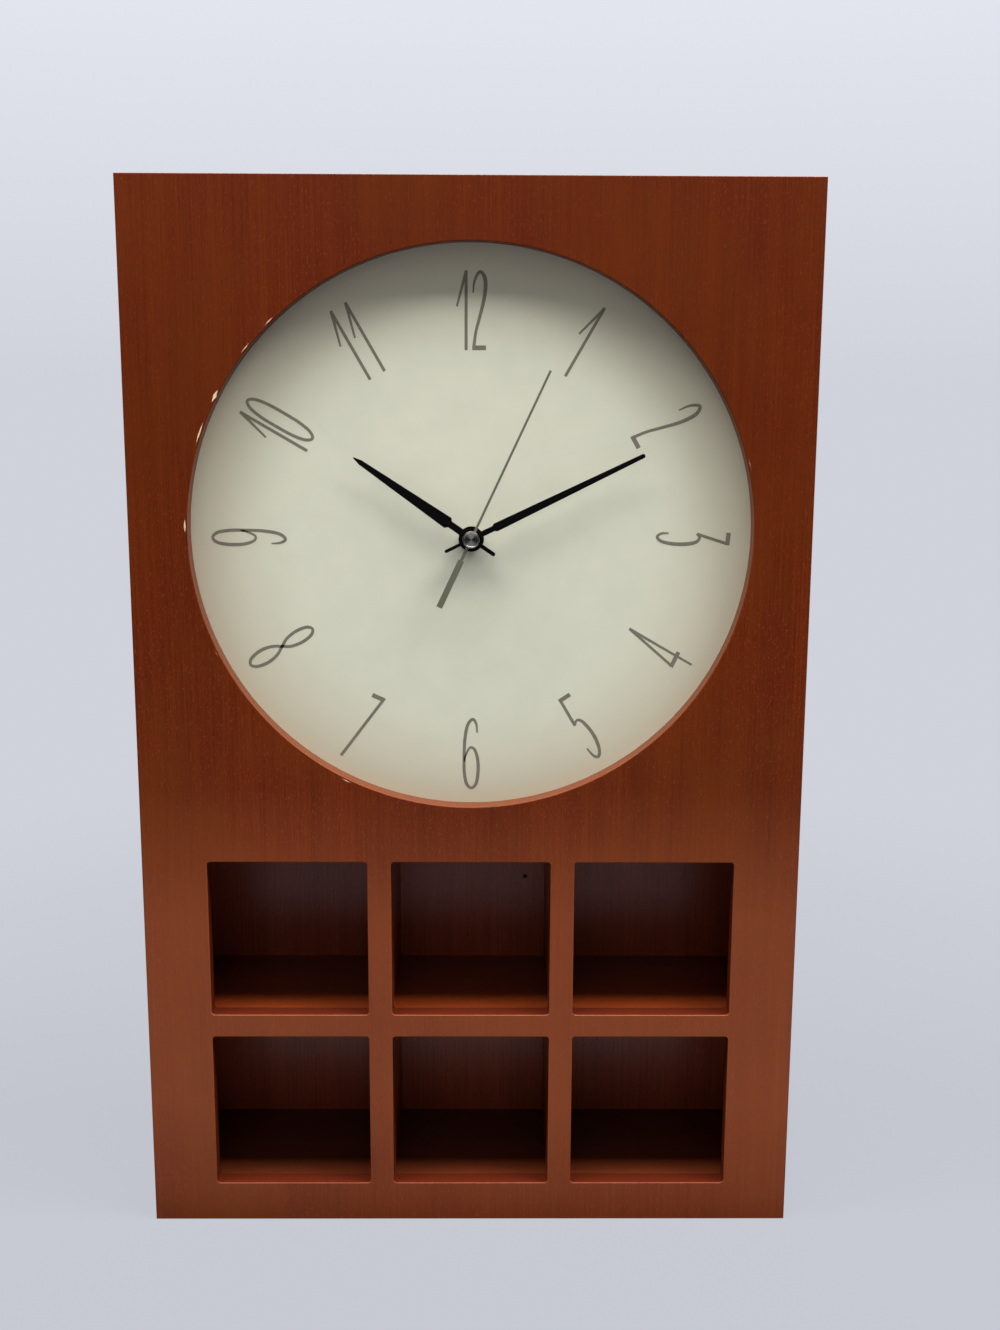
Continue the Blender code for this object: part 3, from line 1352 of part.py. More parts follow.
def stator(x, low, high):
    """Flat iron plate: a ring round the magnet with an arm to each end of the core."""
    front, back = stator_depths()
    hole = MAGNET_DIAMETER / 2 + MAGNET_AIR_GAP
    ring = hole + STATOR_RING_WIDTH
    half = STATOR_ARM_WIDTH / 2
    rise = high - ROTOR_AXIS[1]
    near = ring - STATOR_ARM_WIDTH - STATOR_SHOULDER
    far = ring - STATOR_SHOULDER
    fall_inner = ROTOR_AXIS[0] - near
    fall_outer = ROTOR_AXIS[0] - far
    upper_start = pi - asin((rise + half) / ring)
    upper_end = pi - asin((rise - half) / ring)
    fall_start = pi + acos(far / ring)
    fall_end = pi + acos(near / ring)
    outline = arc(ROTOR_AXIS, ring, fall_end - 2 * pi, upper_start, PIPE_STEPS)
    outline += [(x - half, high + half), (x - half, high - half)]
    outline += arc(ROTOR_AXIS, ring, upper_end, fall_start, STATOR_BREAK_STEPS)
    outline += [(fall_outer, low + half), (x - half, low + half)]
    outline += [(x - half, low - half), (fall_inner, low - half)]
    holes = [circle(hole, centre=ROTOR_AXIS)]
    radius = COIL_POST_RADIUS + PIVOT_GAP
    holes += [circle(radius, SMALL_STEPS, centre) for centre in coil_post_places()]
    return settle(plate("stator", [outline, *holes], front, back, SILICON_STEEL))


def train_bridge():
    """Plate on the four posts that holds the rear pivots."""
    gap = SEAT_GAP
    half = MOVEMENT_INNER - gap
    low, high = TRAIN_BOTTOM + gap, HUB_HEIGHT + half
    front, back = BRIDGE_DEPTH, BRIDGE_DEPTH + BRIDGE_THICKNESS
    made = block("train_bridge", (-half, front, low), (half, back, high), WHITE_NYLON)
    axes = train_axes()
    motion = axes.pop("motion")
    axes["second"] = HUB
    for name, axis in axes.items():
        radius = (SECOND_ARBOR_DIAMETER / 2 if name == "second" else ARBOR_RADIUS) + PIVOT_GAP
        drilled(made, name + "_rear_pivot", radius, front - gap, back + gap, axis)
    drilled(made, "knob_shaft_hole", KNOB_SHAFT_RADIUS + gap, front - gap, back + gap, motion)
    return settle(made)


def movement_cover():
    """Rear cover over the train; its lip sits inside the walls and its pegs hold the bridge."""
    corner = MOVEMENT_CORNER
    low = TRAIN_BOTTOM - BAY_WALL
    high = HUB_HEIGHT + MOVEMENT_HALF
    centre = (0, (low + high) / 2)
    outline = rounded_rectangle(MOVEMENT_SIDE, high - low, corner)
    cover = plate("movement_cover", [outline], COVER_DEPTH, COVER_BACK, BLACK_PLASTIC, centre)
    peg_front = BRIDGE_DEPTH + BRIDGE_THICKNESS + SEAT_GAP
    middle = COVER_DEPTH + COVER_THICKNESS / 2
    radius = POST_RADIUS - SEAT_GAP
    for number, axis in enumerate(post_places(POST_RADIUS)):
        name = f"peg_{number + 1}"
        join(cover, cylinder(name, radius, peg_front, middle, centre=axis, steps=SMALL_STEPS, group=CUTTERS))
    shaft = KNOB_SHAFT_RADIUS + SEAT_GAP
    drilled(cover, "cover_shaft_hole", shaft, COVER_DEPTH - SEAT_GAP, COVER_BACK + SEAT_GAP, MOTION_AXIS)
    return settle(cover)


def circuit():
    """Circuit board with its sealed chip, and the quartz crystal in its can."""
    x0 = MOVEMENT_INNER - POST_INSET - POST_RADIUS - SEAT_GAP - CIRCUIT_WIDTH
    z1 = HUB_HEIGHT + MOVEMENT_INNER - SEAT_GAP
    front = CENTRE_WHEEL_DEPTH
    back = front + CIRCUIT_THICKNESS
    low, high = (x0, front, z1 - CIRCUIT_HEIGHT), (x0 + CIRCUIT_WIDTH, back, z1)
    board = block("circuit_board", low, high, GREEN_BOARD)
    middle = (x0 + CIRCUIT_WIDTH / 2, z1 - CIRCUIT_HEIGHT / 3)
    profile = [
        (0, back - CIRCUIT_THICKNESS / 2),
        (CHIP_DIAMETER / 2, back - CIRCUIT_THICKNESS / 2),
        (CHIP_DIAMETER / 2, back + CHIP_HEIGHT / 3),
        (CHIP_DIAMETER / 3, back + CHIP_HEIGHT),
        (0, back + CHIP_HEIGHT),
    ]
    join(board, turned("chip", profile, centre=middle, steps=MEDIUM_STEPS, group=CUTTERS))
    settle(board)
    radius = CRYSTAL_DIAMETER / 2
    low_end = z1 - CIRCUIT_HEIGHT + radius
    profile = [
        (0, -(low_end + CRYSTAL_LENGTH)),
        (radius, -(low_end + CRYSTAL_LENGTH)),
        (radius, -low_end),
        (0, -low_end),
    ]
    crystal = turned("quartz_crystal", profile, ZINC_STEEL, steps=MEDIUM_STEPS)
    crystal.rotation_euler = (0, 0, 0)
    crystal.location = (middle[0], FRONT_Y + back + SEAT_GAP + radius, 0)


def battery():
    """AA cell along the bottom of the case, with its raised positive end."""
    half = BATTERY_LENGTH / 2
    radius = BATTERY_DIAMETER / 2
    cap = BATTERY_CAP_DIAMETER / 2
    rim = BATTERY_RIM
    profile = [
        (0, -(half + BATTERY_CAP_LENGTH)),
        (cap, -(half + BATTERY_CAP_LENGTH)),
        (cap, -half),
        (radius - rim, -half),
        (radius, -(half - rim)),
        (radius, half - rim),
        (radius - rim, half),
        (0, half),
    ]
    cell = turned("battery", profile, CELL_WRAP, steps=ROUND_STEPS)
    cell.rotation_euler = (0, pi / 2, 0)
    cell.location = (-BATTERY_CAP_LENGTH / 2, FRONT_Y + BATTERY_DEPTH, BATTERY_HEIGHT)


def contacts():
    """Sprung strips at the two ends of the cell, each with a leg up through its notch."""
    wall = MOVEMENT_INNER - SEAT_GAP / 2
    touch = (BATTERY_LENGTH + BATTERY_CAP_LENGTH) / 2 + SEAT_GAP
    root = wall - CONTACT_THICKNESS / 2
    half = CONTACT_WIDTH / 2
    rise = TRAIN_BOTTOM + 2 * BAY_WALL
    profile = [
        (0, touch),
        (DIMPLE_TIP_DIAMETER / 2, touch),
        (DIMPLE_DIAMETER / 2, root),
        (0, root),
    ]
    for name, sign in (("contact_positive", 1), ("contact_negative", -1)):
        x0, x1 = sorted((sign * (wall - CONTACT_THICKNESS), sign * wall))
        low = (x0, BATTERY_DEPTH - half, BATTERY_HEIGHT - half)
        strip = block(name, low, (x1, BATTERY_DEPTH + half, rise), BRASS)
        dimple = turned(name + "_dimple", profile, steps=SMALL_STEPS, group=CUTTERS)
        dimple.rotation_euler = (0, -sign * pi / 2, 0)
        dimple.location = (0, FRONT_Y + BATTERY_DEPTH, BATTERY_HEIGHT)
        settle(join(strip, dimple))


def build():
    front_panel()
    boards = case_boards()
    dividers()
    drill_case_boards(boards)
    back_panel()
    hanging_rail()
    hanger_plate()
    dial()
    case_screws()
    bushing_stack()
    movement_case()
    train_bridge()
    movement_cover()
    coil_and_core()
    circuit()
    train()
    motion_work()
    set_knob()
    battery()
    contacts()
    hands()


build()
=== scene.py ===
"""Looks of a shelf wall clock, built round its packed CAD model.

The file is laid out as a Blender add-on and is run as a script. Lengths are in metres, in the frame
of the CAD model: +X to the right, +Y from the front face to the back, +Z up.
"""

from math import cos, hypot, pi, radians, sin

import bmesh
import bpy
from bpy.props import FloatProperty, FloatVectorProperty, IntProperty, PointerProperty
from bpy.types import NodeSocket, Operator, Panel, PropertyGroup
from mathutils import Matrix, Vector


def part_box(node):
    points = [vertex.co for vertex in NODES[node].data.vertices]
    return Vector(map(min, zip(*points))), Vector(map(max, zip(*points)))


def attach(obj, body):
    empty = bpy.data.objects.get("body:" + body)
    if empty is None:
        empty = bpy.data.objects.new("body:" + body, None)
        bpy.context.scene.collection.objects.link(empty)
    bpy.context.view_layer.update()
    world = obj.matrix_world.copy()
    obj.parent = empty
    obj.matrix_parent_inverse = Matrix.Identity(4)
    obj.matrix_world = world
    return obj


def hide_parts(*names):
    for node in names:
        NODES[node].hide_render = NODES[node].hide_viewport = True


bl_info = {
    "name": "Shelf wall clock",
    "version": (1, 0, 0),
    "blender": (4, 5, 0),
    "location": "3D View > Sidebar > Clock",
    "description": "Dresses the CAD model of a shelf wall clock with finishes, print and stage",
    "category": "Object",
}

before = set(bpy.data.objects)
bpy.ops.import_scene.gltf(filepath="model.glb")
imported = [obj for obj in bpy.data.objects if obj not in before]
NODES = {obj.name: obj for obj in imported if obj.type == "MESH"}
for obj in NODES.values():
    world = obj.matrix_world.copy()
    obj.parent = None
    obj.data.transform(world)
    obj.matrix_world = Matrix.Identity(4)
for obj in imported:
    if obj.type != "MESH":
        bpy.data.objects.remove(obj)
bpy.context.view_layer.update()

MM = 0.001
PANEL_LOW, PANEL_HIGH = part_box("front_panel")
CARD_LOW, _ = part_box("dial_card")
CAP_LOW, CAP_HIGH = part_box("second_cap")
HUB = (CAP_LOW + CAP_HIGH) / 2
BACK_LOW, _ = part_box("back_panel")

# So that no two faces share a plane: how far the front board ends before the dial card, how deep
# the ink lies in the card, how far each stroke lies behind the one before, and how far the floor
# lies under the clock
CARD_GAP, INK_ROOT, STROKE_LIFT, FLOOR_DROP = 0.05 * MM, 0.01 * MM, 0.002 * MM, 0.05 * MM

LAMINATE_THICKNESS = 1 * MM
ROUNDING_STEPS = 4

# Chips in the front edge of the round cut-out: angle from +X towards +Z in degrees, then length and
# width in millimetres. Most are on the left, where the case has been lifted and knocked.
CHIPS = [
    (14.4, 3.0, 0.35),
    (31.9, 1.2, 0.8),
    (45.5, 1.0, 0.5),
    (133.4, 1.4, 0.8),
    (141.0, 2.2, 1.0),
    (151.9, 2.8, 1.8),
    (159.7, 5.6, 1.1),
    (178.7, 2.6, 1.3),
    (204.8, 1.6, 0.8),
    (243.3, 2.3, 0.6),
]
# The chips' middles lie this far outside the rounded edge, their outline is this ragged and fades
# over this length, and they are this many times as deep as a pore
CHIP_OFFSET, CHIP_RAGGED, CHIP_FADE, CHIP_DEPTH = 0.6 * MM, 0.55 * MM, 0.12 * MM, 3

# Painted bounce light and sheen from the floor on the front board: their share by height,
# as a share of its lower part
FLOOR_LIGHT_HEIGHT = 0.3
FLOOR_LIGHT = [(0, 0.16), (0.12, 0.21), (0.22, 0.31), (0.55, 0.3), (0.78, 0.03)]
# Heights between which painted shade darkens the front board's upper part, and by what share
SHADE_HEIGHTS, SHADE_SHARE = (0.3, 0.42), 0.38

# Distances from the hub between which painted shade darkens the card towards its rim
RIM_SHADE = (85 * MM, 137 * MM)

# Spun cap from its raised boss to its rim, in millimetres: distance inside the rim, and depth
# behind the front. The middle of the boss lies a little deeper.
CAP_PROFILE = [
    (1.0, 0.1), (0.78, 0.13), (0.62, 0.02), (0.5, 0), (0.22, 0), (0.06, 0.06), (0, 0.22),
]
CAP_MIDDLE = 0.16 * MM

# One turn of a screw thread in millimetres: depth under the crest, and place along the screw
THREAD = [(0, 0.08), (0.22, 0.3), (0, 0.48)]

# Lamps: size, place, what they point at, and tint. The three overhead lamps in a row leave two
# bright wedges, edged brighter still, on the spun cap.
WHITE, WARM = (1, 1, 1), (1, 0.88, 0.76)
LAMPS = {
    "overhead_left": ((0.9, 0.52), (-0.9, -0.3, 1.75), (-0.9, -0.3, 0), WHITE),
    "overhead_middle": ((0.9, 0.52), (0.05, -0.3, 1.75), (0.05, -0.3, 0), WHITE),
    "overhead_right": ((0.9, 0.52), (1.05, -0.3, 1.75), (1.05, -0.3, 0), WHITE),
    "upper_front": ((1.6, 0.6), (0.1, -0.85, 1.5), (0, 0, 0.3), WHITE),
    "front": ((1.2, 0.8), (-0.1, -1.5, 1.0), (0, 0, 0.25), WARM),
    "bounce": ((1.2, 0.26), (0, -0.19, 0.002), (0, -0.19, 1), WHITE),
    "rear": ((1.4, 0.9), (0, 1.25, 1.15), (0, 0.04, 0.3), WHITE),
}

# Numeral strokes in millimetres: across, up from the foot, and width of the pen line
STEM = [(0, 0, 1.45), (0, 36.9, 1.45)]
FLAG = [(0.1, 36.8, 1.5), (-4.4, 20.3, 0.95)]
SIX = [
    (2.9, 29.2, 0.7), (2.5, 33.6, 1.2), (0.7, 36.1, 1.5), (-1.8, 33.2, 1.6), (-3.2, 26, 1.6),
    (-3.6, 17, 1.5), (-3.5, 9, 1.6), (-2.4, 3, 1.6), (0, 0.7, 1.4), (2.4, 3, 1.6), (3.4, 9, 1.7),
    (3.2, 15.5, 1.6), (1.6, 20.6, 1.4), (-0.8, 21.4, 1.2), (-2.8, 17.5, 1.0), (-3.5, 14.5, 0.8),
]
STROKES = {
    "0": [[
        (0, 0.7, 1.4), (2.3, 3.4, 1.5), (3.5, 10, 1.5), (3.7, 18.5, 1.5), (3.5, 27, 1.5),
        (2.3, 33.6, 1.5), (0, 36.3, 1.4), (-2.3, 33.6, 1.5), (-3.5, 27, 1.5), (-3.7, 18.5, 1.5),
        (-3.5, 10, 1.5), (-2.3, 3.4, 1.5), (0, 0.7, 1.4),
    ]],
    "1": [STEM, FLAG],
    "2": [
        [
            (0.4, 26.6, 0.7), (1.1, 32.1, 1.2), (3.5, 36.2, 1.6), (5.7, 34.2, 1.8),
            (6.3, 30.2, 1.9), (5.6, 23.6, 1.7), (3.6, 15.6, 1.5), (1.7, 8.2, 1.4), (0.8, 1.6, 1.5),
        ],
        [(0, 1.1, 2.2), (6.6, 1.1, 2.2)],
    ],
    "3": [
        [(0, 35.8, 2.2), (6.1, 35.2, 2.2)],
        [(5.5, 35.4, 1.5), (0.7, 20.4, 1.5)],
        [
            (0.5, 20.1, 1.1), (2.4, 21.6, 1.4), (4.6, 19.9, 1.7), (5.6, 15, 1.9), (5.5, 8.5, 1.8),
            (4.3, 3, 1.6), (2.2, 0.9, 1.5), (0.5, 2.8, 1.2), (0.3, 6.4, 0.8),
        ],
    ],
    "4": [
        [(0, 36.9, 1.4), (0, 0.6, 1.1)],
        [(0, 36.7, 1.3), (-5.4, 9.3, 1.3)],
        [(-6.1, 9.0, 2.1), (2.2, 9.7, 2.1)],
    ],
    "5": [
        [(-0.3, 36.0, 2.1), (6.1, 36.4, 2.1)],
        [(0.4, 36.9, 1.5), (0.5, 21.2, 1.5)],
        [
            (0.5, 21.4, 1.1), (2.3, 23.1, 1.3), (4.4, 21.9, 1.5), (5.9, 16.5, 1.7), (6.2, 10, 1.8),
            (5.0, 4.2, 1.6), (2.9, 1.6, 1.6), (1.0, 3.2, 1.3), (0, 8.0, 0.7),
        ],
    ],
    "6": [SIX],
    "7": [[(0, 35.2, 2.2), (6.5, 35.9, 2.2)], [(6.2, 36.8, 1.5), (1.6, 0.4, 1.5)]],
    "8": [[
        (0, 19, 1.5), (2.2, 23, 1.5), (3.1, 29, 1.6), (2.2, 34.4, 1.6), (0, 36.4, 1.4),
        (-2.2, 34.4, 1.6), (-3.1, 29, 1.6), (-2.2, 23, 1.5), (0, 19, 1.5), (2.5, 14.4, 1.5),
        (3.5, 8.6, 1.7), (2.4, 2.8, 1.6), (0, 0.7, 1.4), (-2.4, 2.8, 1.6), (-3.5, 8.6, 1.7),
        (-2.5, 14.4, 1.5), (0, 19, 1.5),
    ]],
    "9": [[(-u, 36.9 - v, width) for u, v, width in SIX]],
}
# Shift of each digit in a numeral of two, in millimetres across
DIGIT_SHIFTS = {"10": (0, 6.4), "11": (0, 8.0), "12": (0, 2.9)}


def linear(hex_colour):
    """Linear RGB from an sRGB hex value such as #6B6A62."""
    shares = [int(hex_colour[i : i + 2], 16) / 255 for i in (1, 3, 5)]
    return [s / 12.92 if s <= 0.04045 else ((s + 0.055) / 1.055) ** 2.4 for s in shares]


def colour_property(name, hex_colour, description):
    colour = linear(hex_colour)
    return FloatVectorProperty(
        name=name, description=description, subtype="COLOR", default=colour, min=0, max=1
    )


def length_property(name, millimetres, description):
    length = millimetres * MM
    return FloatProperty(
        name=name, description=description, default=length, min=0, unit="LENGTH", precision=5
    )


def power_property(name, watts, lamp):
    description = f"Power in watts of the lamp {lamp}"
    return FloatProperty(name=name, description=description, default=watts, min=0, unit="POWER")


def share_property(name, share, description):
    return FloatProperty(
        name=name, description=description, default=share, min=0, max=1, subtype="FACTOR"
    )


class ClockFrontBoard(PropertyGroup):
    """Sizes and colours of the veneered front board."""

    cutout_diameter: length_property("Cut-out", 273, "Diameter of the round cut-out")
    cutout_height: length_property("Cut-out height", 361, "Height of the middle of the cut-out")
    window_width: length_property("Window width", 80.3, "Width of one window")
    window_height: length_property("Window height", 81.5, "Height of one window")
    window_bar: length_property("Bar", 12, "Width of the bars between the windows")
    bottom_rail: length_property("Bottom rail", 20.7, "Height of the board below the windows")
    window_corner: length_property("Window corner", 1.8, "Radius of the corners of a window")
    edge_round: length_property("Edge round", 0.5, "Radius of the sanded front edges")
    cutout_facets: IntProperty(
        name="Facets", description="Facets round the cut-out", default=192, min=48
    )
    # Also the colour of the painted shade on the board's upper part
    stain_dark: colour_property("Dark stain", "#481402", "Stain in the pores and late wood")
    stain_middle: colour_property("Middle stain", "#5E1F03", "Stain of most of the veneer")
    stain_light: colour_property("Light stain", "#702B07", "Stain on the hard, pale streaks")
    stain_ochre: colour_property("Ochre stain", "#6A3006", "Stain in patches that took less red")
    # Painted light: a pale colour for the floor's bounce light and sheen on the lower front board
    stain_worn: colour_property("Worn stain", "#B0623C", "Stain worn by hands round the windows")
    bare_wood: colour_property("Bare wood", "#E6C3A2", "Unstained board in the chips of the edge")
    edge_stain: colour_property("Edge stain", "#623016", "Stained core round the cut-out")
    # Painted shade: the same stained core as round the cut-out, made darker for the shade in the
    # windows
    window_stain: colour_property("Window stain", "#4C1807", "Stained core round the windows")


class ClockCase(PropertyGroup):
    """Colours of the boards behind the front."""

    shelf_stain: colour_property("Shelf stain", "#6C2B0E", "Stain of the shelves and dividers")
    # Painted shade: the shelves' stain made darker, for the shade on the floors of the lower row
    bottom_stain: colour_property("Bottom stain", "#50220F", "Darker stain of the bottom board")
    back_stain: colour_property("Back stain", "#96442A", "Stain inside the thin back")
    raw_back: colour_property("Raw back", "#8A6A4C", "Unstained rear face of the thin back board")
    hardboard: colour_property("Hardboard", "#6B4A30", "Board that carries the dial card")
    pine: colour_property("Pine", "#C9A067", "Batten that the hanger is screwed to")
    pine_late: colour_property("Pine late wood", "#A46A33", "Late wood lines in the batten")


class ClockDial(PropertyGroup):
    """Sizes and colours of the printed dial."""

    numeral_radius: length_property("Numeral radius", 108.3, "From the hub to the numerals")
    ink_thickness: length_property("Ink", 0.03, "Thickness of the printed ink")
    card: colour_property("Card", "#D3D3BE", "Matt off-white dial card")
    # Painted shade: the card near its rim, darker and warmer where the cut-out's rim shades it
    card_rim: colour_property("Card rim", "#C4BEA6", "The card near its rim, yellowed a little")
    ink: colour_property("Ink", "#746F5F", "Grey-brown printing ink")


class ClockHands(PropertyGroup):
    """Colours of the hands and of what holds them."""

    black_enamel: colour_property("Black enamel", "#060606", "Hour and minute hand")
    grey_enamel: colour_property("Grey enamel", "#646455", "Second hand")
    steel: colour_property("Steel", "#CFCDC6", "Spun cap of the second hand")
    brass: colour_property("Brass", "#A08548", "Bushing, nut, washer and battery contacts")


class ClockMovement(PropertyGroup):
    """Colours of the quartz movement."""

    case_plastic: colour_property("Case plastic", "#1B1B1D", "Moulded case, cover and knob")
    wheel_plastic: colour_property("Wheel plastic", "#E4E2D8", "Wheels, pinions and bridge")
    copper: colour_property("Copper", "#B0602F", "Enamelled winding")
    iron: colour_property("Iron", "#7D7F84", "Punched stator and core")
    iron_straw: colour_property("Straw", "#8F8878", "Straw patches that annealing leaves")
    ferrite: colour_property("Ferrite", "#3E3E42", "Rotor magnet")
    laminate: colour_property("Laminate", "#1F5233", "Circuit board")
    resin: colour_property("Resin", "#101012", "Drop of resin over the chip")
    sleeve: colour_property("Sleeve", "#23282F", "Plain sleeve of the cell")
    sleeve_band: colour_property("Band", "#B5793A", "Plain band at the positive end of the cell")
    sleeve_scuff: colour_property("Scuff", "#3A3E44", "Scuffed film of the sleeve")
    nickel: colour_property("Nickel", "#BDBCB6", "Plated ends of the cell")
    zinc: colour_property("Zinc", "#B4B6B4", "Plated screws and hanger plate")
    rubber: colour_property("Rubber", "#161616", "Gasket")


class ClockStage(PropertyGroup):
    """Camera, lamps and floor."""

    camera_place: FloatVectorProperty(
        name="Camera place", description="Where the camera stands", subtype="TRANSLATION",
        default=(0.00747, -0.76616, 0.43375),
    )
    camera_turn: FloatVectorProperty(
        name="Camera turn", description="How the camera is turned", subtype="EULER",
        default=(radians(79.2746), radians(-0.248), radians(-0.4865)),
    )
    lens: FloatProperty(
        name="Lens", description="Focal length on a 36 mm sensor", default=40.68, min=1
    )
    overhead_left: power_property("Left", 42, "overhead on the left")
    overhead_middle: power_property("Middle", 32, "overhead in the middle")
    overhead_right: power_property("Right", 64, "overhead on the right")
    rear: power_property("Rear", 20, "behind the clock")
    upper_front: power_property("Upper front", 2.2, "above and in front")
    front: power_property("Front", 1.9, "far in front")
    bounce: power_property("Bounce", 0.4, "just above the floor in front")
    ambient: share_property("Ambient", 0.03, "Strength of the light from all round")
    floor: colour_property("Floor", "#62656E", "Floor near the clock, as the lamps light it")
    floor_glow: share_property("Floor glow", 0.8, "Share of the background in the near floor")
    backdrop: colour_property("Backdrop", "#CFD2DA", "Pale background that the camera sees")
    backdrop_top: colour_property("Backdrop top", "#ECEFF9", "The background further up")
    open_front: share_property("Open front", 0.03, "Background that gloss shows far in front")


def settings(group):
    """One of the scene's property groups, by the name that follows clock_."""
    return getattr(bpy.context.scene, "clock_" + group)


# Materials


def new_tree(name):
    """Node tree of a new, empty material."""
    made = bpy.data.materials.new(name)
    made.use_nodes = True
    made.node_tree.nodes.clear()
    return made.node_tree


def add(tree, kind, inputs=None, stops=None, blend="LINEAR", **options):
    """Adds a node and returns its outputs. An input is a value, or the socket it is linked to.

    A colour ramp also has stops, each of them a place and a linear RGB colour, and a blend.
    """
    made = tree.nodes.new("ShaderNode" + kind)
    for key, value in options.items():
        setattr(made, key, value)
    for key, value in (inputs or {}).items():
        socket = made.inputs[key]
        if isinstance(value, NodeSocket):
            tree.links.new(value, socket)
        else:
            socket.default_value = value
    if stops:
        made.color_ramp.interpolation = blend
        elements = made.color_ramp.elements
        while len(elements) < len(stops):
            elements.new(1.0)
        for element, (place, colour) in zip(elements, stops):
            element.position = place
            element.color = rgba(colour)
    return made.outputs


def rgba(colour):
    return (*colour, 1.0)


def shade(colour, share):
    """A linear RGB colour made darker or lighter by a share, but no lighter than white."""
    return [min(c * share, 1) for c in colour]


def grey(share):
    return (share, share, share)


def spaced(tree, size, shift=(0, 0, 0)):
    """Object coordinates in units of a size in millimetres, or of one size for each axis."""
    sizes = size if isinstance(size, tuple) else (size, size, size)
    place = add(tree, "TexCoord")["Object"]
    inputs = {"Vector": place, "Scale": [1 / (s * MM) for s in sizes], "Location": shift}
    return add(tree, "Mapping", inputs)[0]


def reach_from(tree, x, z):
    """Distance of a place on the object from the line along Y at x and z."""
    across, _, up = add(tree, "SeparateXYZ", {0: add(tree, "TexCoord")["Object"]})
    across = add(tree, "Math", {0: across, 1: x}, operation="SUBTRACT")[0]
    up = add(tree, "Math", {0: up, 1: z}, operation="SUBTRACT")[0]
    square = add(tree, "Math", {0: across, 1: across}, operation="MULTIPLY")[0]
    square = add(tree, "Math", {0: up, 1: up, 2: square}, operation="MULTIPLY_ADD")[0]
    return add(tree, "Math", {0: square}, operation="SQRT")[0]


def material_of(tree):
    return next(made for made in bpy.data.materials if made.node_tree == tree)


def surface(tree, colour, values, relief=None):
    """Ends a material with a colour and the shader's other values, and returns it.

    A relief is a height from 0 to 1, the strength of its bump, and its depth in millimetres.
    """
    inputs = {"Base Color": colour, **values}
    if relief:
        height, strength, depth = relief
        bump = {"Height": height, "Strength": strength, "Distance": depth * MM}
        inputs["Normal"] = add(tree, "Bump", bump)[0]
    add(tree, "OutputMaterial", {"Surface": add(tree, "BsdfPrincipled", inputs)[0]})
    return material_of(tree)


def grained(name, base, size, detail, shades, values, bump=None, places=(0.3, 0.7)):
    """Material of one colour that noise of a real size moves between two shades.

    A bump is the strength and the depth in millimetres of the same noise as a relief.
    """
    tree = new_tree(name)
    inputs = {"Vector": spaced(tree, size), "Scale": 1, "Detail": detail}
    grain = add(tree, "TexNoise", inputs)[0]
    stops = [(place, shade(base, share)) for place, share in zip(places, shades)]
    colour = add(tree, "ValToRGB", {"Fac": grain}, stops)[0]
    return surface(tree, colour, values, bump and (grain, *bump))


def veneer_tones(tree, along, dark, middle, light):
    """Colour and relief of stained veneer with its grain along an axis.

    Figure bands are about 11 mm wide and 0.3 m long. The streaks are drawn 0.9 mm wide, the pores
    0.5 mm and the pale flecks of the rays 0.8 mm, about twice their real width, so that they show.
    """
    patterns = []
    for across, length, shift, values in (
        (11, 300, (3, 1, 7), {"Detail": 3, "Distortion": 0.4}),
        (0.9, 80, (11, 5, 2), {"Detail": 3, "Roughness": 0.6}),
        (0.5, 7, (1, 9, 4), {"Detail": 2, "Roughness": 0.7}),
        (0.8, 1.5, (7, 3, 8), {"Detail": 2, "Roughness": 0.6}),
    ):
        sizes = [across, across, across]
        sizes["XYZ".index(along)] = length
        inputs = {"Vector": spaced(tree, tuple(sizes), shift), "Scale": 1, **values}
        patterns.append(add(tree, "TexNoise", inputs)[0])
    figure, streaks, pores, flecks = patterns
    inputs = {"Vector": spaced(tree, (110, 110, 160)), "Scale": 1, "Detail": 2}
    blotch = add(tree, "TexNoise", inputs)[0]
    tone = 0
    for part, weight in ((figure, 0.3), (streaks, 0.52), (blotch, 0.3)):
        tone = add(tree, "Math", {0: part, 1: weight, 2: tone}, operation="MULTIPLY_ADD")[0]
    stops = [(0.36, dark), (0.56, middle), (0.76, light)]
    colour = add(tree, "ValToRGB", {"Fac": tone}, stops)[0]
    inputs = {"Value": pores, "From Min": 0.42, "From Max": 0.28, "To Max": 0.75}
    open_pores = add(tree, "MapRange", inputs)[0]
    inputs = {0: open_pores, 6: colour, 7: rgba(shade(dark, 0.35))}
    colour = add(tree, "Mix", inputs, data_type="RGBA")[2]
    inputs = {"Value": flecks, "From Min": 0.58, "From Max": 0.72, "To Max": 0.55}
    rays = add(tree, "MapRange", inputs)[0]
    pale = [min(c * 1.6 + 0.01, 1) for c in light]
    colour = add(tree, "Mix", {0: rays, 6: colour, 7: rgba(pale)}, data_type="RGBA")[2]
    relief = add(tree, "Math", {0: 1, 1: open_pores}, operation="SUBTRACT")[0]
    return colour, relief


def lacquered(tree, colour, relief):
    """Ends the veneer of the outside with its thin, satin film."""
    values = {"Roughness": 0.36, "IOR": 1.45, "Specular IOR Level": 0.15}
    return surface(tree, colour, values, (relief, 0.5, 0.03))


def stained_veneer(name, along):
    """Beech veneer, sliced, stained cherry and lacquered satin."""
    # Fine dark pores and soft bands under a thin even film give a quiet sheen with no mirror image.
    board = settings("front_board")
    tree = new_tree(name)
    stains = (board.stain_dark, board.stain_middle, board.stain_light)
    return lacquered(tree, *veneer_tones(tree, along, *stains))


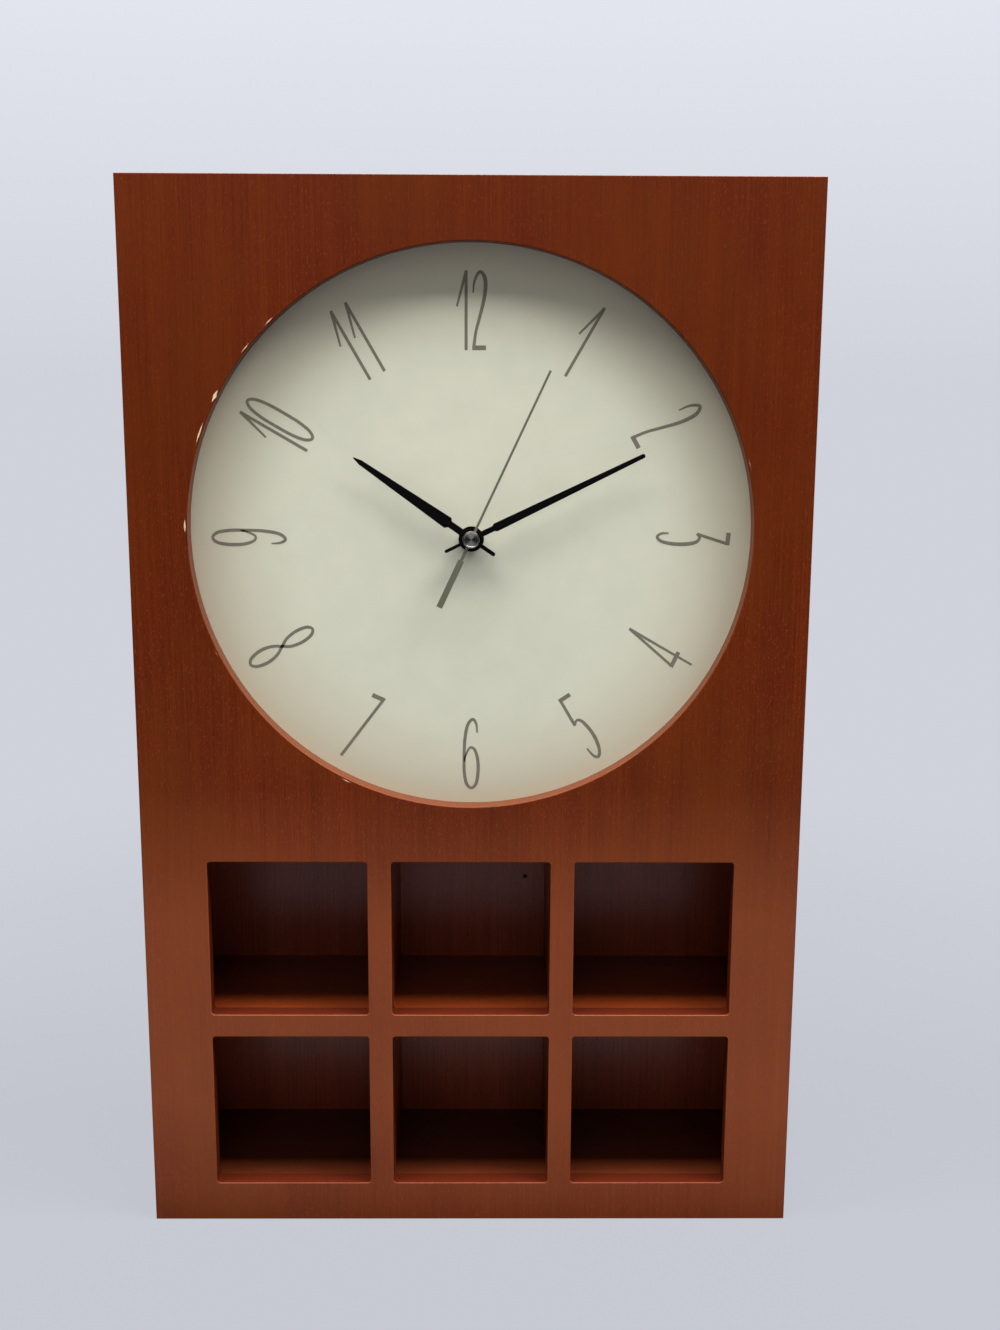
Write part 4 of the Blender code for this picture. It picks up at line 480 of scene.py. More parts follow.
def chip_mask(tree, board):
    """1 in the chips round the front edge of the cut-out, 0 elsewhere.

    A ramp round the cut-out holds half the width of each chip. It falls to nothing one length from
    the chip's middle, so that the chip tapers.
    """
    across, _, up = add(tree, "SeparateXYZ", {0: add(tree, "TexCoord")["Object"]})
    rise = add(tree, "Math", {0: up, 1: board.cutout_height}, operation="SUBTRACT")[0]
    angle = add(tree, "Math", {0: rise, 1: across}, operation="ARCTAN2")[0]
    turn = add(tree, "Math", {0: angle, 1: 2 * pi}, operation="DIVIDE")[0]
    turn = add(tree, "Math", {0: turn, 1: 1, 2: 0}, operation="WRAP")[0]
    widest = max(width for _, _, width in CHIPS) * MM / 2
    stops = []
    for degrees, length, width in CHIPS:
        half = length * MM / board.cutout_diameter / pi
        level = width * MM / 2 / widest
        for offset, value in ((-half, 0), (0, level), (half, 0)):
            stops.append((degrees / 360 + offset, grey(value)))
    widths = add(tree, "ValToRGB", {"Fac": turn}, stops)[0]
    middle = board.cutout_diameter / 2 + board.edge_round + CHIP_OFFSET
    radius = reach_from(tree, 0, board.cutout_height)
    away = add(tree, "Math", {0: radius, 1: middle}, operation="SUBTRACT")[0]
    away = add(tree, "Math", {0: away}, operation="ABSOLUTE")[0]
    room = add(tree, "Math", {0: widths, 1: widest}, operation="MULTIPLY")[0]
    room = add(tree, "Math", {0: room, 1: away}, operation="SUBTRACT")[0]
    inputs = {"Vector": spaced(tree, 0.7), "Scale": 1, "Detail": 2}
    ragged = add(tree, "TexNoise", inputs)[0]
    inputs = {"Value": ragged, "To Min": -CHIP_RAGGED, "To Max": CHIP_RAGGED}
    ragged = add(tree, "MapRange", inputs)[0]
    room = add(tree, "Math", {0: ragged, 1: widths, 2: room}, operation="MULTIPLY_ADD")[0]
    return add(tree, "MapRange", {"Value": room, "From Max": CHIP_FADE})[0]


def chipped_veneer():
    """The front board's veneer, with the chips along the edge of the cut-out."""
    # Where the edge was knocked the stained face has flaked off and the pale core shows as small
    # dashes. Some patches a few centimetres wide took less red. The upper part is darker with
    # painted shade, and the lower part round the windows is paler with the floor's bounce light
    # and sheen, painted on.
    board = settings("front_board")
    tree = new_tree("cherry_stained_beech_veneer_front")
    stains = (board.stain_dark, board.stain_middle, board.stain_light)
    colour, relief = veneer_tones(tree, "Z", *stains)
    height = add(tree, "SeparateXYZ", {0: add(tree, "TexCoord")["Object"]})[2]
    inputs = {"Vector": spaced(tree, (55, 55, 90), (2, 4, 6)), "Scale": 1, "Detail": 3}
    patches = add(tree, "TexNoise", inputs)[0]
    inputs = {"Value": patches, "From Min": 0.44, "From Max": 0.66, "To Max": 0.4}
    patches = add(tree, "MapRange", inputs)[0]
    # Painted shade: above these heights the board is mixed towards the dark stain
    low, high = SHADE_HEIGHTS
    inputs = {"Value": height, "From Min": low, "From Max": high, "To Max": SHADE_SHARE}
    upper = add(tree, "MapRange", inputs)[0]
    # Painted light: the lower part, round the windows, is mixed towards a pale colour for the
    # floor's bounce light and sheen
    share = add(tree, "MapRange", {"Value": height, "From Max": FLOOR_LIGHT_HEIGHT})[0]
    stops = [(place, grey(level)) for place, level in FLOOR_LIGHT]
    floor_light_share = add(tree, "ValToRGB", {"Fac": share}, stops)[0]
    chips = chip_mask(tree, board)
    for share, stain in (
        (patches, board.stain_ochre), (upper, board.stain_dark), (floor_light_share, board.stain_worn),
        (chips, board.bare_wood),
    ):
        colour = add(tree, "Mix", {0: share, 6: colour, 7: rgba(stain)}, data_type="RGBA")[2]
    inputs = {0: chips, 1: -CHIP_DEPTH, 2: relief}
    return lacquered(tree, colour, add(tree, "Math", inputs, operation="MULTIPLY_ADD")[0])


def stained_core(name, stain, gloss):
    """Medium density fibreboard, routed, stained and lacquered."""
    # The routed core has no grain and takes the stain evenly, so the walls look smooth and even.
    values = {"Roughness": 0.45, "IOR": 1.5, "Specular IOR Level": gloss}
    return grained(name, stain, 0.9, 3, (0.72, 1), values, (0.3, 0.05))


def shelf_veneer(name, along, stain):
    """Stained board inside the cubbies, with a smoother film than the front."""
    # The film was sprayed thick inside, so the floors mirror the light as a soft sheen.
    tree = new_tree(name)
    tones = (shade(stain, 0.62), stain, shade(stain, 1.35))
    colour, relief = veneer_tones(tree, along, *tones)
    values = {"Roughness": 0.32, "IOR": 1.45, "Specular IOR Level": 0.3}
    return surface(tree, colour, values, (relief, 0.35, 0.02))


def thin_back():
    """Thin fibreboard, stained and lacquered on the inside and raw on the outside."""
    # Only the face towards the front is stained, with the sheen of the cubbies. The raw faces are
    # matt and felted.
    case = settings("case")
    stain = case.back_stain
    tree = new_tree("thin_fibreboard_back")
    inside, grain = veneer_tones(tree, "Z", shade(stain, 0.6), stain, shade(stain, 1.3))
    inputs = {"Vector": spaced(tree, 2.2), "Scale": 1, "Detail": 5, "Roughness": 0.7}
    felt = add(tree, "TexNoise", inputs)[0]
    stops = [(0.32, shade(case.raw_back, 0.7)), (0.68, case.raw_back)]
    raw = add(tree, "ValToRGB", {"Fac": felt}, stops)[0]
    normal = add(tree, "NewGeometry")["True Normal"]
    facing = add(tree, "SeparateXYZ", {0: normal})[1]
    outside = add(tree, "Math", {0: facing, 1: -0.5}, operation="GREATER_THAN")[0]
    height = add(tree, "Mix", {0: outside, 2: grain, 3: felt})[0]
    inputs = {"Value": outside, "To Min": 0.3, "To Max": 0.8}
    roughness = add(tree, "MapRange", inputs)[0]
    colour = add(tree, "Mix", {0: outside, 6: inside, 7: raw}, data_type="RGBA")[2]
    values = {"Roughness": roughness, "IOR": 1.5, "Specular IOR Level": 0.36}
    return surface(tree, colour, values, (height, 0.3, 0.03))


def screen_hardboard():
    """Hardboard, pressed from wet fibre on a wire screen."""
    # The screen leaves a fine woven print on the rear face, drawn 1.6 mm coarse so that it shows.
    base = settings("case").hardboard
    tree = new_tree("pressed_hardboard")
    wires = []
    for direction in ("X", "Z"):
        inputs = {"Vector": spaced(tree, 1.6), "Scale": 0.32, "Distortion": 0.4, "Detail": 2}
        wires.append(add(tree, "TexWave", inputs, bands_direction=direction)[1])
    screen = add(tree, "Math", dict(enumerate(wires)), operation="MULTIPLY")[0]
    inputs = {"Vector": spaced(tree, 1.4), "Scale": 1, "Detail": 4}
    fibres = add(tree, "TexNoise", inputs)[0]
    tone = add(tree, "ValToRGB", {"Fac": fibres}, [(0.3, shade(base, 0.6)), (0.7, base)])[0]
    print_share = add(tree, "MapRange", {"Value": screen, "To Max": 0.35})[0]
    inputs = {0: print_share, 6: tone, 7: rgba(shade(base, 0.45))}
    colour = add(tree, "Mix", inputs, data_type="RGBA")[2]
    return surface(tree, colour, {"Roughness": 0.72, "IOR": 1.5}, (screen, 0.6, 0.15))


def sawn_pine():
    """Pine batten, sawn and left bare."""
    # Late wood runs as darker lines 1.7 mm apart along the batten, and the sawn face looks dry.
    case = settings("case")
    tree = new_tree("sawn_pine")
    inputs = {"Vector": spaced(tree, (260, 3.2, 3.2)), "Scale": 0.6, "Distortion": 3, "Detail": 3}
    rings = add(tree, "TexWave", inputs, bands_direction="Z")[1]
    inputs = {"Vector": spaced(tree, (25, 0.6, 0.6)), "Scale": 1, "Detail": 3}
    fibres = add(tree, "TexNoise", inputs)[0]
    lines = add(tree, "Math", {0: rings, 1: fibres}, operation="MULTIPLY")[0]
    stops = [(0.1, case.pine), (0.6, case.pine_late)]
    colour = add(tree, "ValToRGB", {"Fac": lines}, stops)[0]
    return surface(tree, colour, {"Roughness": 0.7, "IOR": 1.5}, (fibres, 0.4, 0.08))


def printed_card():
    """Uncoated card, rolled matt, as the ground of the dial."""
    # Paper fibre breaks up the light, so the card has no gloss, but a faint cloudiness and a few
    # specks of dust. Towards its rim it is darker and warmer, with the shade of the cut-out's rim
    # painted on.
    dial = settings("dial")
    tree = new_tree("matt_dial_card")
    clouds = add(tree, "TexNoise", {"Vector": spaced(tree, 14), "Scale": 1, "Detail": 4})[0]
    stops = [(0.3, shade(dial.card, 0.955)), (0.7, dial.card)]
    tone = add(tree, "ValToRGB", {"Fac": clouds}, stops)[0]
    # Painted shade: towards its rim the card is mixed towards a darker, warmer colour
    reach = reach_from(tree, HUB.x, HUB.z)
    inputs = {"Value": reach, "From Min": RIM_SHADE[0], "From Max": RIM_SHADE[1]}
    shaded = add(tree, "MapRange", inputs, interpolation_type="SMOOTHSTEP")[0]
    inputs = {0: shaded, 6: tone, 7: rgba(dial.card_rim)}
    tone = add(tree, "Mix", inputs, data_type="RGBA")[2]
    inputs = {"Vector": spaced(tree, 7), "Scale": 1, "Randomness": 1}
    dust = add(tree, "TexVoronoi", inputs)["Distance"]
    inputs = {"Vector": spaced(tree, 19, (5, 5, 5)), "Scale": 1, "Detail": 2}
    sparse = add(tree, "TexNoise", inputs)[0]
    inputs = {"Value": sparse, "From Min": 0.56, "From Max": 0.7, "To Max": 0.045}
    size = add(tree, "MapRange", inputs)[0]
    speck = add(tree, "Math", {0: size, 1: dust}, operation="GREATER_THAN")[0]
    speck = add(tree, "Math", {0: speck, 1: 0.3}, operation="MULTIPLY")[0]
    inputs = {0: speck, 6: tone, 7: rgba(shade(dial.card, 0.3))}
    colour = add(tree, "Mix", inputs, data_type="RGBA")[2]
    fibre = add(tree, "TexNoise", {"Vector": spaced(tree, 0.5), "Scale": 1, "Detail": 2})[0]
    values = {"Roughness": 0.85, "IOR": 1.45, "Specular IOR Level": 0.3}
    return surface(tree, colour, values, (fibre, 0.12, 0.02))


def printing_ink():
    """Screen ink, printed flat on the card."""
    # The ink lies thin and matt and lets a little of the card's cloudiness through.
    values = {"Roughness": 0.7, "IOR": 1.45}
    ink, places = settings("dial").ink, (0.3, 0.75)
    return grained("screen_printed_ink", ink, 1.8, 3, (0.86, 1.1), values, places=places)


def enamel(name, base, roughness, sheen):
    """Stoving enamel on pressed aluminium."""
    # A sprayed film on thin sheet: even colour, soft sheen, and a faint orange peel 0.8 mm across.
    values = {"Roughness": roughness, "IOR": 1.5, "Specular IOR Level": sheen}
    return grained(name, base, 0.8, 2, (0.88, 1.08), values, (0.2, 0.01))


def spun_steel():
    """Stainless steel disc, spun bright against a tool."""
    # The tool leaves rings round the axis, so lamps show as bright wedges that meet in the middle.
    # Real rings are 0.05 mm apart, and they are drawn 0.3 mm apart.
    base = settings("hands").steel
    tree = new_tree("spun_stainless_steel")
    inputs = {"W": reach_from(tree, 0, 0), "Scale": 1 / (0.3 * MM), "Detail": 2}
    rings = add(tree, "TexNoise", inputs, noise_dimensions="1D")[0]
    values = {
        "Metallic": 1.0, "Roughness": 0.24, "Anisotropic": 0.95, "Anisotropic Rotation": 0.25,
        "Tangent": add(tree, "Tangent", direction_type="RADIAL", axis="Y")[0],
    }
    colour = add(tree, "ValToRGB", {"Fac": rings}, [(0.3, shade(base, 0.72)), (0.7, base)])[0]
    return surface(tree, colour, values, (rings, 0.4, 0.02))


def plated_steel():
    """Mild steel, zinc plated bright."""
    # The plating follows the rolled sheet: fine streaks, a bluish grey, and duller patches.
    base = settings("movement").zinc
    tree = new_tree("zinc_plated_steel")
    inputs = {"Vector": spaced(tree, (6, 0.5, 0.5)), "Scale": 1, "Detail": 3}
    streaks = add(tree, "TexNoise", inputs)[0]
    patches = add(tree, "TexNoise", {"Vector": spaced(tree, 4), "Scale": 1, "Detail": 3})[0]
    stops = [(0.3, shade(base, 0.75)), (0.7, base)]
    colour = add(tree, "ValToRGB", {"Fac": patches}, stops)[0]
    inputs = {"Value": streaks, "To Min": 0.26, "To Max": 0.46}
    values = {"Metallic": 1.0, "Roughness": add(tree, "MapRange", inputs)[0]}
    return surface(tree, colour, values, (streaks, 0.15, 0.02))


def turned_brass():
    """Free-cutting brass, turned and stamped."""
    # Bare brass: warm, fairly bright, with tool lines 0.25 mm apart and a little tarnish.
    base = settings("hands").brass
    tree = new_tree("turned_brass")
    inputs = {"Vector": spaced(tree, (3, 0.25, 3)), "Scale": 1, "Detail": 2}
    lines = add(tree, "TexNoise", inputs)[0]
    tarnish = add(tree, "TexNoise", {"Vector": spaced(tree, 2.5), "Scale": 1, "Detail": 3})[0]
    stops = [(0.3, shade(base, 0.62)), (0.7, base)]
    colour = add(tree, "ValToRGB", {"Fac": tarnish}, stops)[0]
    return surface(tree, colour, {"Metallic": 1.0, "Roughness": 0.3}, (lines, 0.3, 0.02))


def moulded_abs():
    """ABS, moulded in a spark-eroded tool."""
    # The eroded tool gives an even fine grain, drawn 0.5 mm across, and a dull sheen on near black.
    base, values = settings("movement").case_plastic, {"Roughness": 0.5, "IOR": 1.53}
    bump = (0.35, 0.05)
    return grained("moulded_black_abs", base, 0.5, 2, (0.8, 1.25), values, bump)


def moulded_acetal():
    """Acetal, moulded in a polished tool."""
    # Milky white and slightly waxy: faintly clouded, with a soft sheen.
    base, values = settings("movement").wheel_plastic, {"Roughness": 0.38, "IOR": 1.48}
    return grained("moulded_white_acetal", base, 2.5, 2, (0.92, 1), values)


def moulded_rubber():
    """Nitrile rubber, moulded."""
    # Dull black with a bloom of fine grey dust.
    base, values = settings("movement").rubber, {"Roughness": 0.85, "IOR": 1.52}
    places = (0.35, 0.75)
    return grained("moulded_nitrile_rubber", base, 1.5, 4, (1, 3), values, places=places)


def wound_copper():
    """Enamelled copper wire, wound in layers."""
    # The turns lie side by side, drawn 0.3 mm apart, and the varnish makes them glint red-brown.
    base = settings("movement").copper
    tree = new_tree("enamelled_copper_winding")
    # Bands of the wave texture are one unit apart at a scale of 0.31
    inputs = {
        "Vector": spaced(tree, (1000, 1000, 0.3)), "Scale": 0.31, "Distortion": 0.05, "Detail": 2,
    }
    turns = add(tree, "TexWave", inputs, bands_direction="Z")[1]
    colour = add(tree, "ValToRGB", {"Fac": turns}, [(0.1, shade(base, 0.4)), (0.6, base)])[0]
    values = {"Metallic": 0.85, "Roughness": 0.3, "Coat Weight": 0.6, "Coat Roughness": 0.15}
    return surface(tree, colour, values, (turns, 0.7, 0.1))


def punched_iron():
    """Soft iron sheet, annealed and punched."""
    # Annealing leaves a blue-grey skin with straw patches a few millimetres across.
    movement = settings("movement")
    tree = new_tree("annealed_soft_iron")
    stops = [(0.3, shade(movement.iron, 0.6)), (0.62, movement.iron), (0.8, movement.iron_straw)]
    skin = add(tree, "TexNoise", {"Vector": spaced(tree, 3), "Scale": 1, "Detail": 4})[0]
    colour = add(tree, "ValToRGB", {"Fac": skin}, stops)[0]
    return surface(tree, colour, {"Metallic": 1.0, "Roughness": 0.45})


def sintered_ferrite():
    """Ferrite, pressed and sintered."""
    # Ceramic dark grey, with a fine pitted grain.
    base, values = settings("movement").ferrite, {"Roughness": 0.55, "IOR": 1.8}
    return grained("sintered_ferrite", base, 0.4, 3, (0.6, 1), values, (0.4, 0.04))


def circuit_laminate(board_back):
    """Glass-epoxy laminate with its solder mask, and a drop of black resin over the chip."""
    # Green glassy mask with paler tracks under it. What stands above the board is matt black resin.
    movement = settings("movement")
    tree = new_tree("glass_epoxy_laminate")
    inputs = {"Vector": spaced(tree, 1.6), "Scale": 0.5, "Mortar Size": 0.03}
    tracks = add(tree, "TexBrick", inputs)[1]
    track, mask = shade(movement.laminate, 2.2), movement.laminate
    inputs = {0: tracks, 6: rgba(mask), 7: rgba(track)}
    green = add(tree, "Mix", inputs, data_type="RGBA")[2]
    deep = add(tree, "SeparateXYZ", {0: add(tree, "TexCoord")["Object"]})[1]
    inputs = {0: deep, 1: board_back + 0.02 * MM}
    over = add(tree, "Math", inputs, operation="GREATER_THAN")[0]
    inputs = {0: over, 6: green, 7: rgba(movement.resin)}
    colour = add(tree, "Mix", inputs, data_type="RGBA")[2]
    return surface(tree, colour, {"Roughness": 0.35, "IOR": 1.55})


def battery_skin(low, high):
    """AA cell: printed film shrunk over a nickel-plated can whose ends stay bare."""
    # Dark satin film with a plain band at the positive end, and bright metal where the contacts
    # touch. Low and high are the ends of the cell along X.
    movement = settings("movement")
    tree = new_tree("shrink_film_and_nickel")
    length = high - low
    along = add(tree, "SeparateXYZ", {0: add(tree, "TexCoord")["Object"]})[0]
    share = add(tree, "MapRange", {"Value": along, "From Min": low, "From Max": high})[0]
    ends = [(0, grey(0)), (1.6 * MM / length, grey(1)), (1 - 2.0 * MM / length, grey(0))]
    film = add(tree, "ValToRGB", {"Fac": share}, ends, "CONSTANT")[0]
    bands = [(0, movement.sleeve), (1 - 12 * MM / length, movement.sleeve_band)]
    band = add(tree, "ValToRGB", {"Fac": share}, bands, "CONSTANT")[0]
    inputs = {"Vector": spaced(tree, (5, 2, 2)), "Scale": 1, "Detail": 4}
    scuffs = add(tree, "TexNoise", inputs)[0]
    scuffs = add(tree, "MapRange", {"Value": scuffs, "To Max": 0.3})[0]
    inputs = {0: scuffs, 6: band, 7: rgba(movement.sleeve_scuff)}
    printed = add(tree, "Mix", inputs, data_type="RGBA")[2]
    inputs = {"Base Color": printed, "Roughness": 0.32, "IOR": 1.5}
    sleeve = add(tree, "BsdfPrincipled", inputs)[0]
    inputs = {"Base Color": rgba(movement.nickel), "Metallic": 1.0, "Roughness": 0.28}
    can = add(tree, "BsdfPrincipled", inputs)[0]
    skin = add(tree, "MixShader", {0: film, 1: can, 2: sleeve})[0]
    add(tree, "OutputMaterial", {"Surface": skin})
    return material_of(tree)


def nail_pit():
    """Torn fibres in a nail hole."""
    # The pit is shallow, and its near black brown is the painted shade of a deep hole: hardly any
    # light comes back out of a nail hole, so it reads as a nearly black brown dot.
    tree = new_tree("nail_hole_in_fibreboard")
    fibres = add(tree, "TexNoise", {"Vector": spaced(tree, 1), "Scale": 1, "Detail": 2})[0]
    stops = [(0.3, linear("#0A0302")), (0.8, linear("#1D0A05"))]
    colour = add(tree, "ValToRGB", {"Fac": fibres}, stops)[0]
    return surface(tree, colour, {"Roughness": 0.9, "IOR": 1.5})


# Shapes


def keep(piece, body, slot, *replaced):
    """Puts a finished piece in the scene: its body and the CAD nodes it stands for.

    The slot is not used.
    """
    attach(piece, body)
    if replaced:
        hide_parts(*replaced)
    return piece


def linked(name, data):
    """A new object of the scene."""
    made = bpy.data.objects.new(name, data)
    bpy.context.scene.collection.objects.link(made)
    return made


def mesh_piece(name, bm, *finishes):
    mesh = bpy.data.meshes.new(name)
    bm.to_mesh(mesh)
    bm.free()
    for finish in finishes:
        mesh.materials.append(finish)
    return linked(name, mesh)


def smooth_faces(piece, degrees=35):
    """Shades round faces smooth and keeps flat ones flat."""
    piece.data.shade_smooth()
    piece.data.set_sharp_from_angle(angle=radians(degrees))
    weighted = piece.modifiers.new("Weighted_normal", "WEIGHTED_NORMAL")
    weighted.keep_sharp = True
    return piece


def dress(nodes, finish, rounding=None):
    """Gives CAD nodes a material, and rounds their edges by a radius in millimetres."""
    for node in nodes.split():
        piece = NODES[node]
        mesh = piece.data
        for name in ("custom_normal", "sharp_edge"):
            if name in mesh.attributes:
                mesh.attributes.remove(mesh.attributes[name])
        mesh.materials.clear()
        mesh.materials.append(finish)
        mesh.shade_smooth()
        joined = piece.modifiers.new("Weld", "WELD")
        joined.merge_threshold = 0.002 * MM
        if not rounding:
            split = piece.modifiers.new("Edge_split", "EDGE_SPLIT")
            split.split_angle = radians(38)
            continue
        flat = piece.modifiers.new("Flat_faces", "DECIMATE")
        flat.decimate_type = "DISSOLVE"
        flat.angle_limit = radians(1)
        bevel = piece.modifiers.new("Broken_edges", "BEVEL")
        bevel.width = rounding * MM
        bevel.segments = 2
        bevel.limit_method = "ANGLE"
        bevel.angle_limit = radians(40)
        bevel.miter_outer = "MITER_ARC"
        piece.modifiers.new("Weighted_normal", "WEIGHTED_NORMAL")


def rounded_window(centre, width, height, radius, steps=6):
    """Points round a window, anticlockwise from its right side."""
    points = []
    for quarter in range(4):
        sx = 1 if quarter in (0, 3) else -1
        sz = 1 if quarter in (0, 1) else -1
        x = centre[0] + sx * (width / 2 - radius)
        z = centre[1] + sz * (height / 2 - radius)
        for i in range(steps + 1):
            turn = quarter * pi / 2 + pi / 2 * i / steps
            points.append((x + radius * cos(turn), z + radius * sin(turn)))
    return points


def lathe(name, profile, centre, finish, steps):
    """Turns (radius, depth) points round the axis along Y through a centre."""
    bm = bmesh.new()
    rings = []
    for radius, depth in profile:
        if radius < 1e-9:
            rings.append([bm.verts.new((0, depth, 0))])
            continue
        ring = []
        for i in range(steps):
            turn = 2 * pi * i / steps
            ring.append(bm.verts.new((radius * cos(turn), depth, radius * sin(turn))))
        rings.append(ring)
    for near, far in zip(rings, rings[1:]):
        for i in range(steps):
            j = (i + 1) % steps
            corners = [
                near[i % len(near)], near[j % len(near)], far[j % len(far)], far[i % len(far)]
            ]
            bm.faces.new(list(dict.fromkeys(corners)))
    bmesh.ops.recalc_face_normals(bm, faces=bm.faces)
    piece = mesh_piece(name, bm, finish)
    piece.location = centre
    return smooth_faces(piece)


class CLOCK_OT_front_board(Operator):
    """Front board with its round cut-out, six windows and softened edges"""

    bl_idname = "clock.front_board"
    bl_label = "Front board"

    def shapes(self, board):
        """Outline, cut-out and windows: the material of its wall, and its points at a growth."""

        def outline(growth):
            low_x, high_x = PANEL_LOW.x + growth, PANEL_HIGH.x - growth
            low_z, high_z = PANEL_LOW.z + growth, PANEL_HIGH.z - growth
            return [(low_x, low_z), (high_x, low_z), (high_x, high_z), (low_x, high_z)]

        def cutout(growth):
            radius = board.cutout_diameter / 2 + growth
            turns = [2 * pi * i / board.cutout_facets for i in range(board.cutout_facets)]
            return [(radius * cos(t), board.cutout_height + radius * sin(t)) for t in turns]

        shapes = [(0, outline), (1, cutout)]
        pitch_x = board.window_width + board.window_bar
        pitch_z = board.window_height + board.window_bar
        for row in range(2):
            for column in (-1, 0, 1):
                middle_z = board.bottom_rail + board.window_height / 2 + row * pitch_z

                def window(growth, middle=(column * pitch_x, middle_z)):
                    width = board.window_width + 2 * growth
                    height = board.window_height + 2 * growth
                    return rounded_window(middle, width, height, board.window_corner + growth)

                shapes.append((2, window))
        return shapes

    def execute(self, context):
        board = settings("front_board")
        front, back = PANEL_LOW.y, CARD_LOW.y - CARD_GAP
        profile = []
        for i in range(ROUNDING_STEPS + 1):
            turn = pi / 2 * i / ROUNDING_STEPS
            profile.append((board.edge_round * (1 - sin(turn)), board.edge_round * (1 - cos(turn))))
        profile.append((0, back - front))

        bm = bmesh.new()
        front_edges, back_edges = [], []
        for wall, shape in self.shapes(board):
            rings = []
            for growth, depth in profile:
                rings.append([bm.verts.new((x, front + depth, z)) for x, z in shape(growth)])
            count = len(rings[0])
            for level, (near, far) in enumerate(zip(rings, rings[1:])):
                for i in range(count):
                    j = (i + 1) % count
                    face = bm.faces.new((near[i], near[j], far[j], far[i]))
                    face.material_index = wall if level >= ROUNDING_STEPS - 1 else 0
            for ring, edges in ((rings[0], front_edges), (rings[-1], back_edges)):
                for i in range(count):
                    edges.append(bm.edges.get((ring[i], ring[(i + 1) % count])))
        for edges in (front_edges, back_edges):
            bmesh.ops.triangle_fill(bm, use_beauty=True, use_dissolve=False, edges=edges)
        bmesh.ops.recalc_face_normals(bm, faces=bm.faces)
        round_wall = stained_core("stained_core_of_cutout", board.edge_stain, 0.3)
        # The windows' core is the cut-out's, made darker: painted shade in the windows
        window_wall = stained_core("stained_core_of_windows", board.window_stain, 0.15)
        piece = mesh_piece("front_board", bm, chipped_veneer(), round_wall, window_wall)
        keep(smooth_faces(piece), "case", "front_veneer", "front_panel")
        return {"FINISHED"}


class CLOCK_OT_case_boards(Operator):
    """Sides, top, shelves and dividers"""

    bl_idname = "clock.case_boards"
    bl_label = "Case boards"

    def execute(self, context):
        case = settings("case")
        side = stained_veneer("cherry_stained_beech_veneer_side", "Z")
        dress("side_left side_right", side, 0.5)
        dress("top_panel", stained_veneer("cherry_stained_beech_veneer_top", "X"), 0.4)
        # The bottom board has the shelves' stain made darker: painted shade on the lower row's
        # floors
        dress("bottom_panel", shelf_veneer("stained_bottom_board", "X", case.bottom_stain))
        level = shelf_veneer("stained_shelf_board", "X", case.shelf_stain)
        dress("middle_shelf upper_shelf", level)
        dividers = [node for node in NODES if node.startswith("divider_")]
        upright = shelf_veneer("stained_divider_board", "Z", case.shelf_stain)
        dress(" ".join(dividers), upright)
        return {"FINISHED"}


class CLOCK_OT_back(Operator):
    """Back board with its stray nail hole, hanging rail and keyhole plate"""

    bl_idname = "clock.back"
    bl_label = "Back and hanger"

    hole_x: length_property("Hole x", 29.5, "Nail hole, to the right of the middle")
    hole_z: length_property("Hole z", 161.1, "Nail hole, above the floor")
    hole_width: length_property("Hole width", 1.6, "Diameter of the nail hole")

    def execute(self, context):
        dress("back_panel", thin_back())
        dress("hanging_rail", sawn_pine(), 0.6)
        dress("hanger_plate", plated_steel(), 0.15)
        # A raised burr and a shallow pit inside it, painted dark as the shade of a deep hole,
        # because the CAD node itself isn't cut
        radius = self.hole_width / 2
        profile = [
            (radius * 1.5, 0), (radius * 1.15, -0.12 * MM), (radius, -0.06 * MM), (0, -0.01 * MM)
        ]
        place = (self.hole_x, BACK_LOW.y, self.hole_z)
        keep(lathe("nail_hole", profile, place, nail_pit(), 20), "case", "stained_board")
        return {"FINISHED"}


